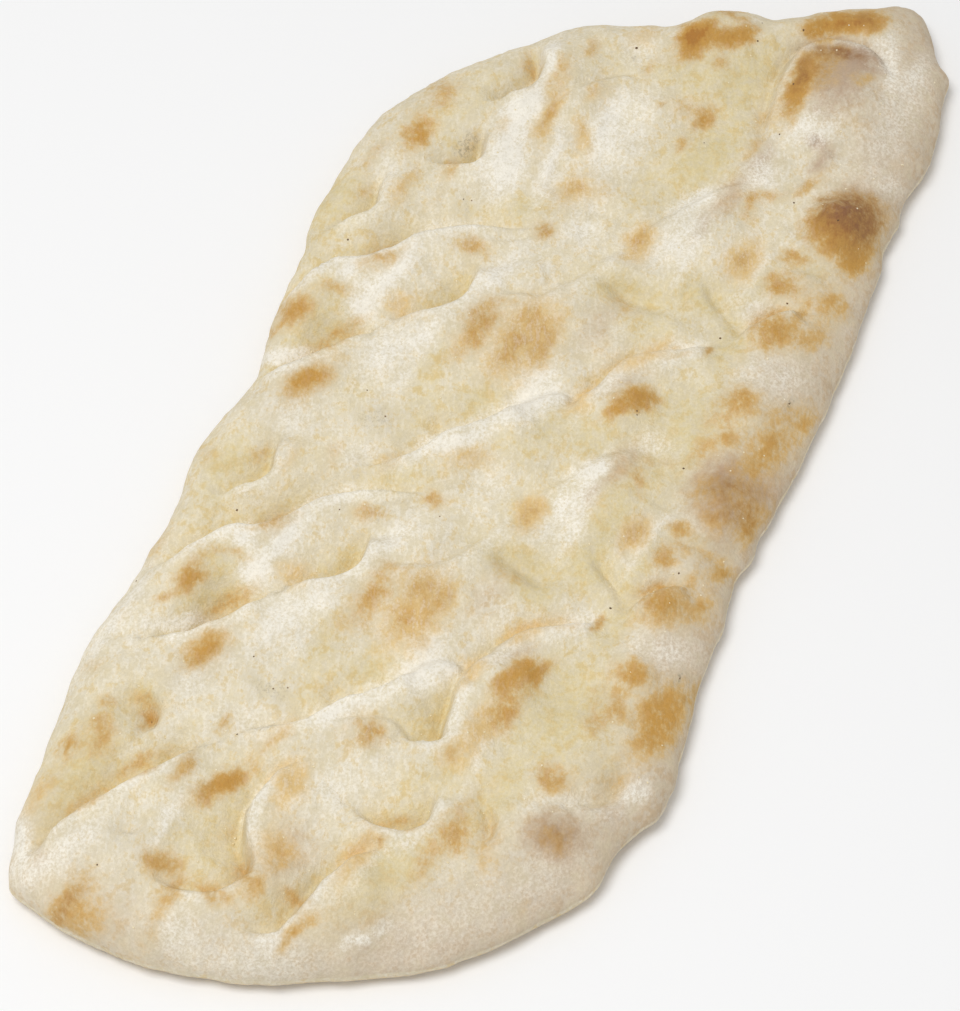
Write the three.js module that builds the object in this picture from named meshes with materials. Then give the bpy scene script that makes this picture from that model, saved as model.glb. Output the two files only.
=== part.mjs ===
// Crispy Roman pizza base: a long oval flatbread, dimpled by fingertips, floured and baked pale.
// Millimetres, +Z up. The long axis lies along X, the flat underside on Z = 0, and the origin is
// under the middle of the loaf.

import * as THREE from 'three';

// Driving dimensions of the loaf
const crumbHeight = 14.5;      // usual height of the top between folds and dents
const sideLevel = 5;           // height at which the edge is widest
const farEdgeLift = 1.5;       // how much higher the part that shows is where the edge faces away
const farShoulder = 13;        // how far in from the edge the rounded shoulder goes, far side
const nearShoulder = 26;       // the same on the near side, which slopes more gently
const shoulderTurn = 55;       // distance across the loaf over which the one becomes the other
const footReach = 6;           // how far in from the edge the rounded foot goes
const rimRise = 1.2;           // the puffed rim above the usual height
const rimInset = 15;           // distance of the rim's crest from the edge
const rimSpread = 10;          // width of the rim's swell to either side of its crest
const halfWidth = 83;          // from the edge to the middle line
const middleShare = 0.54;      // length of the middle line as a share of the loaf's length
const middleSlope = 0.09;      // the loaf runs a little askew, so its middle line does too
const bendStart = 55;          // from here on, both ways, the middle line bends towards its end
const leftBend = 0.0036;
const rightBend = -0.006;

// Driving dimensions of the mesh
const aroundCount = 200;       // points along the edge
const ringStep = 3.9;          // distance between rings on the top
const shoulderInsets = [0.5, 1.8, 4, 7];
const footInsets = [0.6, 2.1, 4.1, 6];
const slitShare = 0.02;        // the innermost ring, left as a narrow slit and then closed

// The outline and the places of folds, domes and dents are read on a level plane at readingLevel,
// along lines of sight from one point, the viewer. What stands higher than the plane is really
// nearer to the viewer than it appears, and what lies lower is farther away.
const readingLevel = 13;
const viewer = [-476, -231.2, 726.2];
const awayFromViewer = [0.891, 0.454];
const crestLevel = 17;
const domeLevel = 18;
const dentLevel = 10;

// Widest outline, from the blunt left end along the far side to the pointed right end and back
const outlinePoints = [
  [-185.3, 30], [-182.5, 44], [-178, 47.5], [-165, 52.3], [-150, 55.5], [-135, 59.5], [-120, 62.5],
  [-85, 63.5], [-70, 64.5], [-52, 69], [-25, 66.5], [-10, 70], [0, 73], [20, 76], [35, 80],
  [50, 80.5], [65, 81.5], [77, 80], [84.5, 76.5], [99.5, 69], [111.2, 60.5], [119, 54], [129, 46],
  [135.3, 34], [142, 20.7], [149, 15.5], [153.9, 11.2], [155.8, 6.5], [156.6, 1.8], [157.3, -3.8],
  [161.7, -9.2], [168.5, -18.1], [175, -28], [180, -35.5], [179, -40], [164, -51], [160, -56],
  [150, -58.5], [130, -63.5], [115, -62.5], [105, -64], [95, -64], [85, -66.5], [70, -68.5],
  [50, -71], [10, -73.5], [-8, -73.5], [-14, -74.5], [-22, -73], [-35, -75.5], [-50, -77.5],
  [-70, -81.5], [-82, -84], [-93, -85], [-99.5, -82.5], [-107, -80.5], [-118, -80], [-125, -77.5],
  [-137.5, -69.5], [-150, -60], [-158, -51.5], [-166, -39], [-174, -25], [-180, -12], [-185.5, 10],
];

// The same stretch of dimples comes twice along the loaf, the far time a little larger.
const repeatShift = [97.1, 14.4];
const repeatStretch = [1.115, 1.062];

// A fold is a crest that falls steeply into a hollow on the left of its line and slopes gently
// down on the right. rise is the crest above the crumb, drop the hollow below it, near the reach
// of the gentle side and far the reach of the hollow. The hollow is a bowl that is deepest at the
// share deepest of the line and runs out at both of its ends.
const cliffWidth = 6;
const foldFade = 0.18;         // share of a fold's line over which each end of the crest fades out
const bendSteps = 4;           // straight pieces between two places of a fold's line
const softening = 1;           // blends the stretches of a line, so that bends leave no jump
const usualWeight = 0.6;       // blended weight of a long line at a distance of 1

const repeatedFolds = [
  { rise: 2.5, drop: 8.4, near: 10, far: 22, deepest: 0.66,
    line: [[-103.8, 51], [-101.3, 46], [-97.8, 42], [-92.8, 38.5], [-86.8, 35], [-78.8, 30.5]] },
  { rise: 2.8, drop: 5.8, near: 12, far: 20, deepest: 0.5,
    line: [[-85, 64], [-82, 59], [-78, 56.3], [-70, 52], [-65.5, 49], [-62.5, 44.5], [-58, 40],
      [-53, 37], [-49, 34.5], [-45, 30], [-41, 24], [-38, 18.5], [-34, 10]] },
  { rise: 3.4, drop: 6.4, near: 12, far: 19, deepest: 0.6,
    line: [[-75, 28.5], [-71, 23], [-67, 18], [-62, 14.8], [-56, 14.8], [-49.5, 16.8]] },
  { rise: 1.8, drop: 5.4, near: 9, far: 16, deepest: 0.5,
    line: [[-57, 58], [-53, 54.5], [-49, 50.5], [-44, 49], [-38, 50.5], [-32, 52.5]] },
  { rise: 3.2, drop: 3.4, near: 10, far: 20, deepest: 0.45,
    line: [[-116.5, 15.4], [-111.5, 6.4], [-106.5, 2.4], [-100, -0.6], [-95.5, -4.6], [-89.5, -10],
      [-83.5, -14.6]] },
  { rise: 2.3, drop: 0.6, near: 10, far: 7, deepest: 0.5,
    line: [[-90, -8.5], [-83, -14], [-78.5, -19], [-76, -24]] },
  { rise: 2.5, drop: 3.8, near: 12, far: 12, deepest: 0.4,
    line: [[-81, -25], [-76, -25.5], [-71, -28], [-65, -29.5], [-60, -32], [-56.5, -36],
      [-53, -41], [-50, -44.5], [-47, -48]] },
  { rise: 1.5, drop: 0.4, near: 14, far: 14, deepest: 0.5,
    line: [[-25, -15], [-19, -18.5], [-13, -22], [-6, -25.5], [-1, -29], [6, -36]] },
  { rise: 2.5, drop: 3, near: 9, far: 10, deepest: 0.3,
    line: [[-42, -53], [-36, -55.5], [-31, -59.5], [-28, -63]] },
  { rise: 1.6, drop: 0.8, near: 8, far: 12, deepest: 0.5,
    line: [[-60, 9], [-57, 3], [-54, -3], [-48, -7], [-41, -10], [-34, -12.5], [-29, -14]] },
];

const singleFolds = [
  { rise: 2.8, drop: 6.6, near: 16, far: 22, deepest: 0.35,
    line: [[-170, 46], [-160, 42.5], [-150, 38], [-141, 33.5], [-132, 28.5], [-126, 24]] },
  { rise: 2.5, drop: 6, near: 13, far: 21, deepest: 0.5,
    line: [[-164, 17], [-163.5, 9], [-161.5, 2], [-157, -2.5], [-151, -5], [-146, -2.5],
      [-142, 1.5], [-136, 4], [-130, 4], [-124, 2.5], [-119, -1]] },
  { rise: 2.6, drop: 5.4, near: 13, far: 14, deepest: 0.4,
    line: [[-167.6, -9], [-166, -14], [-162.5, -18.5], [-157.5, -20], [-151.5, -21], [-144.5, -22],
      [-137.5, -25], [-131.5, -30]] },
  { rise: 2.3, drop: 6.6, near: 9, far: 20, deepest: 0.5,
    line: [[-125, -17], [-127, -23], [-126.5, -28], [-124, -33], [-120.5, -36], [-115, -36],
      [-110, -34.5]] },
  { rise: 0.9, drop: 4.2, near: 5, far: 11, deepest: 0.6,
    line: [[-128, 38], [-124, 36.5], [-119, 39], [-117.5, 45]] },
  { rise: 1.1, drop: 1.9, near: 7, far: 8, deepest: 0.5,
    line: [[-107, -3], [-103, -9], [-100.5, -14], [-101, -18]] },
  { rise: 2.3, drop: 6.6, near: 9, far: 18, deepest: 0.3,
    line: [[-102, -20], [-100.5, -26], [-97, -29.2], [-90, -27.5], [-84, -26], [-79, -24.5]] },
  { rise: 1.1, drop: 2.9, near: 6, far: 8, deepest: 0.6,
    line: [[-119.5, -51.4], [-115.5, -52.8], [-110.4, -51.2], [-107, -46]] },
  { rise: 1.4, drop: 4.2, near: 7, far: 11, deepest: 0.5,
    line: [[-99.6, -65.2], [-97.6, -69.8], [-93.4, -73.8], [-87.4, -74.8], [-82, -73.3]] },
  { rise: 2, drop: 7.4, near: 8, far: 12, deepest: 0.5,
    line: [[69.5, 60], [70, 54], [73.5, 49.5], [79.5, 49.2], [86, 52]] },
  { rise: 3, drop: 8, near: 11, far: 12, deepest: 0.5,
    line: [[97, 55], [100.5, 50.5], [105, 47.8], [110, 47], [116, 48.5], [122, 53]] },
  { rise: 0.9, drop: 1.2, near: 8, far: 6, deepest: 0.5,
    line: [[100, 37.5], [106, 36], [112.8, 32.3], [118.7, 28.3], [121, 22]] },
  { rise: 1.8, drop: 3.4, near: 12, far: 12, deepest: 0.4,
    line: [[118, -20], [125, -17.5], [132, -15.5], [140, -14], [148, -13.5], [155, -15.5],
      [160, -20], [161.5, -26], [160, -33], [155, -39]] },
];

// Domes are bubbles and pillows, and dents are round hollows: place, two radii and height.
const repeatedDomes = [
  { at: [1, -62], reach: [14, 12], height: 3.5 },
  { at: [-18, -32], reach: [22, 14], height: 2 },
  { at: [-36, -61], reach: [9, 8], height: 1 },
  { at: [-58, -62], reach: [8, 8], height: 1.2 },
  { at: [-72, -37], reach: [10, 8], height: 1 },
  { at: [-46, 2], reach: [13, 9], height: 1.5 },
];

const singleDomes = [
  { at: [-150, 28], reach: [26, 15], height: 1.5 },
  { at: [-109, -65], reach: [11, 10], height: 1.5 },
  { at: [141, -31], reach: [25, 19], height: 4.5 },
  { at: [101, -50], reach: [13, 11], height: 2 },
  { at: [98, 36], reach: [30, 12], height: 1.8 },
  { at: [148, 10], reach: [16, 14], height: 2.5 },
  { at: [-150, -31], reach: [22, 12], height: 1.5 },
];

const repeatedDents = [
  { at: [-72, -48], reach: [18, 10], height: -1.6 },
  { at: [-62, -20], reach: [14, 9], height: -1 },
  { at: [-63, 51], reach: [9, 8], height: -1.5 },
  { at: [-37, 23], reach: [8, 9], height: -1.8 },
  { at: [-97, -58], reach: [5, 5], height: -1.2 },
  { at: [-46, -44], reach: [7, 9], height: -1.6 },
  { at: [-89, 41], reach: [9, 6], height: -1.5 },
  { at: [-109, -17], reach: [7, 6], height: -1.4 },
];

const singleDents = [
  { at: [122, -6], reach: [26, 12], height: -1.2 },
  { at: [-153, 27], reach: [11, 6], height: -1.6 },
  { at: [-136, 27], reach: [9, 5], height: -1.2 },
  { at: [-124, 45], reach: [8, 8], height: -2 },
  { at: [-141, -12], reach: [14, 7], height: -1.4 },
  { at: [127, 26], reach: [6, 5], height: -0.8 },
];

// Slow swells that keep the crumb from being level: height, two wavelengths and a start
const swells = [
  { height: 0.6, along: 61, across: 37, start: 0.4 },
  { height: 0.45, along: -29, across: 43, start: 2.1 },
  { height: 0.3, along: 19, across: 23, start: 4.4 },
];

function smooth(share) {
  const t = Math.min(Math.max(share, 0), 1);
  return t * t * (3 - 2 * t);
}

function bell(share) {
  return Math.exp(-share * share);
}

function standAt([x, y], level) {
  const share = (level - readingLevel) / (viewer[2] - readingLevel);
  return [x + (viewer[0] - x) * share, y + (viewer[1] - y) * share];
}

function softLine(places) {
  const corners = places.map(([x, y]) => new THREE.Vector3(x, y, 0));
  const curve = new THREE.CatmullRomCurve3(corners, false, 'centripetal');
  return curve.getPoints(bendSteps * (corners.length - 1)).map(({ x, y }) => [x, y]);
}

function repeatAt([x, y]) {
  return [repeatShift[0] + repeatStretch[0] * x, repeatShift[1] + repeatStretch[1] * y];
}

function repeatFold(fold) {
  return { ...fold, line: fold.line.map(repeatAt) };
}

function repeatMound(mound) {
  const [along, across] = mound.reach;
  return {
    ...mound,
    at: repeatAt(mound.at),
    reach: [along * repeatStretch[0], across * repeatStretch[1]],
  };
}

function settle(mounds, level) {
  return mounds.map((mound) => ({ ...mound, at: standAt(mound.at, level) }));
}

const folds = [...repeatedFolds, ...repeatedFolds.map(repeatFold), ...singleFolds]
  .map((fold) => ({ ...fold, line: softLine(fold.line.map((place) => standAt(place, crestLevel))) }));

const mounds = [
  ...settle([...repeatedDomes, ...repeatedDomes.map(repeatMound), ...singleDomes], domeLevel),
  ...settle([...repeatedDents, ...repeatedDents.map(repeatMound), ...singleDents], dentLevel),
];

// Nearest point of a fold's line: its distance, the side the place lies on, how far along the line
// it is, and a softer distance that grows past the ends. The last two blend all stretches.
function nearestOnLine(line, x, y) {
  let [distance, side] = [Infinity, 1];
  let [weights, places] = [0, 0];
  for (let k = 0; k < line.length - 1; k += 1) {
    const [ax, ay] = line[k];
    const [bx, by] = line[k + 1];
    const length = Math.hypot(bx - ax, by - ay);
    const [ux, uy] = [(bx - ax) / length, (by - ay) / length];
    const reach = Math.min(Math.max((x - ax) * ux + (y - ay) * uy, 0), length);
    const [dx, dy] = [x - ax - ux * reach, y - ay - uy * reach];
    const away = Math.hypot(dx, dy);
    if (away < distance) {
      distance = away;
      side = Math.sign(ux * dy - uy * dx);
    }
    const weight = length / (away + softening) ** 6;
    weights += weight;
    places += weight * (k + reach / length) / (line.length - 1);
  }
  const soft = Math.max((usualWeight / weights) ** (1 / 5) - softening, distance);
  return { distance, side, along: places / weights, soft };
}

function foldHeight(fold, x, y) {
  const { distance, side, along, soft } = nearestOnLine(fold.line, x, y);
  const crest = fold.rise * smooth(Math.min(along, 1 - along) / foldFade);
  if (side < 0) {
    return crest * bell(distance / fold.near);
  }
  const { deepest } = fold;
  const towards = along < deepest ? along / deepest : (1 - along) / (1 - deepest);
  const belly = Math.sqrt(Math.max(1 - (1 - towards) ** 2, 0));
  const cliff = cliffWidth * (1 + belly) / 2;
  const reach = cliffWidth + (fold.far - cliffWidth) * belly;
  const fall = smooth(distance / cliff);
  const left = 1 - Math.min(Math.max((soft - cliff) / (reach - cliff), 0), 1);
  return crest * (1 - fall) - fold.drop * belly * fall * left ** 2;
}

function moundHeight(mound, x, y) {
  const share = Math.hypot((x - mound.at[0]) / mound.reach[0], (y - mound.at[1]) / mound.reach[1]);
  return share < 1 ? mound.height * (1 - share * share) ** 2 : 0;
}

function swellHeight(swell, x, y) {
  return swell.height * Math.sin(x / swell.along + y / swell.across + swell.start) *
    Math.cos(x / swell.across - y / swell.along);
}

function total(items, heightOf, x, y) {
  return items.reduce((sum, item) => sum + heightOf(item, x, y), 0);
}

// Height of the top at a place that lies inset millimetres in from the edge
function topHeight(x, y, inset) {
  const rim = rimRise * bell((inset - rimInset) / rimSpread);
  const crumb = crumbHeight + rim + total(folds, foldHeight, x, y) +
    total(mounds, moundHeight, x, y) + total(swells, swellHeight, x, y);
  const shoulder = farShoulder + (nearShoulder - farShoulder) * smooth(-y / shoulderTurn);
  const outward = 1 - Math.min(inset / shoulder, 1);
  return sideLevel + (crumb - sideLevel) * Math.sqrt(1 - outward * outward);
}

function footHeight(inset) {
  const outward = 1 - Math.min(inset / footReach, 1);
  return sideLevel * (1 - Math.sqrt(1 - outward * outward));
}

// The edge's points, evenly spaced. The outline runs clockwise, so outward is on its left. Where it
// faces away from the viewer, the shoulder above the edge is what shows.
function edgePoints() {
  const corners = outlinePoints.map(([x, y]) => new THREE.Vector3(x, y, 0));
  const outline = new THREE.CatmullRomCurve3(corners, true, 'centripetal');
  outline.arcLengthDivisions = 40 * corners.length;
  const places = outline.getSpacedPoints(aroundCount).slice(0, aroundCount);
  return places.map(({ x, y }, k) => {
    const before = places.at(k - 1);
    const after = places[(k + 1) % aroundCount];
    const [travelX, travelY] = [after.x - before.x, after.y - before.y];
    const away = travelX * awayFromViewer[1] - travelY * awayFromViewer[0];
    const facingAway = Math.max(away / Math.hypot(travelX, travelY), 0);
    return standAt([x, y], sideLevel + farEdgeLift * facingAway);
  });
}

// The line that all rings shrink towards. Its ends bend towards the loaf's two tips, so that no
// ring folds over itself there.
function middleOf([edgeX]) {
  const x = edgeX * middleShare;
  const past = Math.max(Math.abs(x) - bendStart, 0);
  return [x, middleSlope * x + (x < 0 ? leftBend : rightBend) * past * past];
}

// A ring is the edge drawn in towards the middle line.
function ringPoints(edge, inset, heightAt) {
  const share = Math.max(1 - inset / halfWidth, slitShare);
  return edge.map((corner) => {
    const [middleX, middleY] = middleOf(corner);
    const x = middleX + (corner[0] - middleX) * share;
    const y = middleY + (corner[1] - middleY) * share;
    return [x, y, heightAt(x, y)];
  });
}

// Faces across a ring, from its left end to its right end: each step is taken on the side, far or
// near, that is behind. They close the top's slit and the flat underside.
function zipFaces(edge) {
  const count = edge.length;
  const along = edge.map(([x]) => x);
  const leftEnd = along.indexOf(Math.min(...along));
  const rightEnd = along.indexOf(Math.max(...along));
  const farSteps = (rightEnd - leftEnd + count) % count;
  const nearSteps = count - farSteps;
  const farAt = (step) => (leftEnd + step) % count;
  const nearAt = (step) => (leftEnd - step + count) % count;
  const faces = [];
  let [far, near] = [0, 0];
  while (far < farSteps - 1 || near < nearSteps - 1) {
    const farIsBehind = along[farAt(far + 1)] < along[nearAt(near + 1)];
    if (near === nearSteps - 1 || (farIsBehind && far < farSteps - 1)) {
      faces.push([farAt(far), nearAt(near), farAt(far + 1)]);
      far += 1;
    } else {
      faces.push([farAt(far), nearAt(near), nearAt(near + 1)]);
      near += 1;
    }
  }
  faces.push([farAt(far), nearAt(near), rightEnd]);
  return faces.filter(([first, second]) => first !== second);
}

function buildLoaf() {
  const edge = edgePoints();
  const topInsets = [...shoulderInsets];
  const lastInset = halfWidth - ringStep / 2;
  for (let inset = shoulderInsets.at(-1) + ringStep; inset < lastInset; inset += ringStep) {
    topInsets.push(inset);
  }
  topInsets.push(halfWidth);
  const rings = [
    ...[...footInsets].reverse().map((inset) => ringPoints(edge, inset, () => footHeight(inset))),
    ringPoints(edge, 0, () => sideLevel),
    ...topInsets.map((inset) => ringPoints(edge, inset, (x, y) => topHeight(x, y, inset))),
  ];

  const positions = rings.flat(2);
  const faces = [];
  for (let ring = 0; ring < rings.length - 1; ring += 1) {
    const low = ring * aroundCount;
    const high = low + aroundCount;
    for (let k = 0; k < aroundCount; k += 1) {
      const next = (k + 1) % aroundCount;
      faces.push(low + k, high + next, low + next);
      faces.push(low + k, high + k, high + next);
    }
  }

  const lastRing = (rings.length - 1) * aroundCount;
  for (const [first, second, third] of zipFaces(edge)) {
    faces.push(lastRing + first, lastRing + second, lastRing + third);
    faces.push(first, third, second);
  }

  const geometry = new THREE.BufferGeometry();
  geometry.setAttribute('position', new THREE.Float32BufferAttribute(positions, 3));
  geometry.setIndex(faces);
  geometry.computeBoundingBox();
  const middle = geometry.boundingBox.getCenter(new THREE.Vector3());
  geometry.translate(-middle.x, -middle.y, 0);
  geometry.computeVertexNormals();
  return geometry;
}

const crustMaterial = new THREE.MeshStandardMaterial({ color: 0xdcc9a0, roughness: 0.85, metalness: 0 });

const loaf = new THREE.Mesh(buildLoaf(), crustMaterial);
loaf.name = 'pizza_base';

const group = new THREE.Group();
group.add(loaf);

export default group;
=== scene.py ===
# %% [markdown]
# # A crispy Roman pizza base
# The real thing is a long oval flatbread. A baker presses wet dough out by hand, dusts it with flour
# and bakes it pale, so it keeps the dents of the fingertips, soft folds between them, a few bubbles
# and a scatter of brown spots. There is one piece, the loaf, and nearly all of this lesson is about
# its form and its colours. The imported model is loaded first, because the loaf has to stay inside it.

# %% Load the frame
import math

import bpy
import numpy as np
from mathutils import Matrix, Vector, noise
from mathutils.bvhtree import BVHTree


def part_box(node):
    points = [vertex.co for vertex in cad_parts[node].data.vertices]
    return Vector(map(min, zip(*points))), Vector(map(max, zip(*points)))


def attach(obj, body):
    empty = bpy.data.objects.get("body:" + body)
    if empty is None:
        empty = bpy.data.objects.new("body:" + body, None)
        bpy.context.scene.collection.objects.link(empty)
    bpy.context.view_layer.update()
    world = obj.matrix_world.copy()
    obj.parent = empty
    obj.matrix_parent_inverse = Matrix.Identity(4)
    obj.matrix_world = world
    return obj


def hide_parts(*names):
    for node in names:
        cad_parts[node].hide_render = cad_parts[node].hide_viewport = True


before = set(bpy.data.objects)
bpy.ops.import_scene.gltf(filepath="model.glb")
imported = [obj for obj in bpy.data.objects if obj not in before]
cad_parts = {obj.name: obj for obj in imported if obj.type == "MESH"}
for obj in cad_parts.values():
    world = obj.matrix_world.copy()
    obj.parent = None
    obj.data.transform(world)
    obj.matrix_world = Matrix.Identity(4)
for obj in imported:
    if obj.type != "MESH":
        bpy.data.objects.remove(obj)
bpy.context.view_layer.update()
MM = 0.001
loaf_low, loaf_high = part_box("pizza_base")
print("the packed loaf, in mm:", [round((high - low) / MM, 1) for low, high in zip(loaf_low, loaf_high)])


# %% [markdown]
# ## The place the loaf is looked at from
# The photograph looks down on the loaf from one corner. Its places are read on a level plane through
# the middle of the crust, along lines of sight from one point, so that point is set first. A crest
# stands higher than the plane and is really nearer to the viewer than it appears, and a foot is
# farther away. One helper puts such a reading in its true place, and its mirror image is used later
# to find where on the plane a point of the finished loaf appears.

# %% The viewer and the reading plane
READING_LEVEL = 13.0
VIEW_TURN, VIEW_LIFT, VIEW_DISTANCE = math.radians(-63), math.radians(55), 874.3
VIEW_TARGET = np.array([-29.2, -3.5, 10.0])
VIEW_BACK = np.array([
    math.sin(VIEW_TURN) * math.cos(VIEW_LIFT),
    -math.cos(VIEW_TURN) * math.cos(VIEW_LIFT),
    math.sin(VIEW_LIFT),
])
VIEWER = VIEW_TARGET + VIEW_DISTANCE * VIEW_BACK


def stand_at(places, level):
    """True places of readings that belong to something at this level."""
    places = np.asarray(places, float)
    return places + (VIEWER[:2] - places) * (level - READING_LEVEL) / (VIEWER[2] - READING_LEVEL)


def seen_at(points):
    """Where on the reading plane each point of the loaf appears."""
    share = (VIEWER[2] - READING_LEVEL) / (VIEWER[2] - points[:, 2])
    return VIEWER[:2] + (points[:, :2] - VIEWER[:2]) * share[:, None]


print("the viewer stands at, in mm:", VIEWER.round(0))


# %% [markdown]
# ## The outline
# The edge of the loaf is a smooth closed curve through a few dozen corners, as a baker's hands leave
# it: blunt at the left end, pointed at the right end, with small lobes where the dough was pulled.
# A spline that goes through every corner is used, so each corner can be read off the real outline.
# Where the edge faces the viewer, its widest level is what shows; where it faces away, the shoulder
# above it shows instead, so that part is read at a higher level. The far side always runs on to the
# right, because the mesh later draws the edge in towards a middle line that would fold otherwise.

# %% Outline
OUTLINE = [
    (-185.3, 30), (-182.5, 44), (-178, 47.5), (-165, 52.3), (-150, 55.5), (-135, 59.5), (-120, 62.5),
    (-85, 63.5), (-70, 64.5), (-52, 69), (-25, 66.5), (-10, 70), (0, 73), (20, 76), (35, 80), (50, 80.5),
    (65, 81.5), (77, 80), (84.5, 76.5), (99.5, 69), (111.2, 60.5), (119, 54), (129, 46), (135.3, 34),
    (142, 20.7), (149, 15.5), (153.9, 11.2), (155.8, 6.5), (156.6, 1.8), (157.3, -3.8), (161.7, -9.2),
    (168.5, -18.1), (175, -28), (180, -35.5), (179, -40), (164, -51), (160, -56), (150, -58.5),
    (130, -63.5), (115, -62.5), (105, -64), (95, -64), (85, -66.5), (70, -68.5), (50, -71), (10, -73.5),
    (-8, -73.5), (-14, -74.5), (-22, -73), (-35, -75.5), (-50, -77.5), (-70, -81.5), (-82, -84),
    (-93, -85), (-99.5, -82.5), (-107, -80.5), (-118, -80), (-125, -77.5), (-137.5, -69.5), (-150, -60),
    (-158, -51.5), (-166, -39), (-174, -25), (-180, -12), (-185.5, 10),
]
SIDE_LEVEL = 5.0
FAR_EDGE_LIFT = 1.5
AROUND_COUNT = 820
CURVE_STEPS = 24


def curve_piece(p0, p1, p2, p3):
    """A centripetal spline from p1 up to, but without, p2."""
    knots = np.cumsum([0] + [math.sqrt(math.dist(a, b)) for a, b in ((p0, p1), (p1, p2), (p2, p3))])
    t = np.linspace(knots[1], knots[2], CURVE_STEPS, endpoint=False)[:, None]

    def blend(a, b, low, high):
        return ((knots[high] - t) * a + (t - knots[low]) * b) / (knots[high] - knots[low])

    a1, a2, a3 = blend(p0, p1, 0, 1), blend(p1, p2, 1, 2), blend(p2, p3, 2, 3)
    return blend(blend(a1, a2, 0, 2), blend(a2, a3, 1, 3), 1, 2)


def closed_curve(corners, count):
    """Evenly spaced points on a smooth closed curve through the corners."""
    total = len(corners)
    dense = np.vstack([curve_piece(*(corners[(k + step) % total] for step in (-1, 0, 1, 2)))
                       for k in range(total)])
    dense = np.vstack([dense, dense[:1]])
    length = np.concatenate([[0], np.cumsum(np.hypot(*np.diff(dense, axis=0).T))])
    wanted = np.linspace(0, length[-1], count, endpoint=False)
    return np.column_stack([np.interp(wanted, length, dense[:, axis]) for axis in (0, 1)])


edge = closed_curve(np.array(OUTLINE, float), AROUND_COUNT)
travel = np.roll(edge, -1, axis=0) - np.roll(edge, 1, axis=0)
outward_way = np.column_stack([-travel[:, 1], travel[:, 0]]) / np.hypot(*travel.T)[:, None]
facing_away = np.clip(-outward_way @ VIEW_BACK[:2] / math.cos(VIEW_LIFT), 0, 1)
edge = stand_at(edge, (SIDE_LEVEL + FAR_EDGE_LIFT * facing_away)[:, None])
box_middle = (edge.min(axis=0) + edge.max(axis=0)) / 2
print("outline, in mm:", np.ptp(edge, axis=0).round(1), "with its middle at", box_middle.round(2))


# %% [markdown]
# ## Folds
# A fingertip pushes the dough down and away, so each dimple has a steep wall on one side, under a
# soft crest, and rises slowly on the other. Such a fold is written as five sizes and the line of its
# crest: the rise of the crest, the drop of the hollow, the reach of the gentle side, the reach of the
# hollow, and how far along the line the hollow is deepest. The same stretch of dimples comes twice
# along the loaf, so its features are written once and placed twice.

# %% Folds
REPEATED_FOLDS = [
    (2.5, 8.4, 10, 22, 0.66, [
        (-103.8, 51), (-101.3, 46), (-97.8, 42), (-92.8, 38.5), (-86.8, 35), (-78.8, 30.5)]),
    (2.8, 5.8, 12, 20, 0.5, [
        (-85, 64), (-82, 59), (-78, 56.3), (-70, 52), (-65.5, 49), (-62.5, 44.5), (-58, 40), (-53, 37),
        (-49, 34.5), (-45, 30), (-41, 24), (-38, 18.5), (-34, 10)]),
    (3.4, 6.4, 12, 19, 0.6, [(-75, 28.5), (-71, 23), (-67, 18), (-62, 14.8), (-56, 14.8), (-49.5, 16.8)]),
    (1.8, 5.4, 9, 16, 0.5, [(-57, 58), (-53, 54.5), (-49, 50.5), (-44, 49), (-38, 50.5), (-32, 52.5)]),
    (3.2, 3.4, 10, 20, 0.45, [
        (-116.5, 15.4), (-111.5, 6.4), (-106.5, 2.4), (-100, -0.6), (-95.5, -4.6), (-89.5, -10),
        (-83.5, -14.6)]),
    (2.3, 0.6, 10, 7, 0.5, [(-90, -8.5), (-83, -14), (-78.5, -19), (-76, -24)]),
    (2.5, 3.8, 12, 12, 0.4, [
        (-81, -25), (-76, -25.5), (-71, -28), (-65, -29.5), (-60, -32), (-56.5, -36), (-53, -41),
        (-50, -44.5), (-47, -48)]),
    (1.5, 0.4, 14, 14, 0.5, [(-25, -15), (-19, -18.5), (-13, -22), (-6, -25.5), (-1, -29), (6, -36)]),
    (2.5, 3, 9, 10, 0.3, [(-42, -53), (-36, -55.5), (-31, -59.5), (-28, -63)]),
    (1.6, 0.8, 8, 12, 0.5, [
        (-60, 9), (-57, 3), (-54, -3), (-48, -7), (-41, -10), (-34, -12.5), (-29, -14)]),
]
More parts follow.
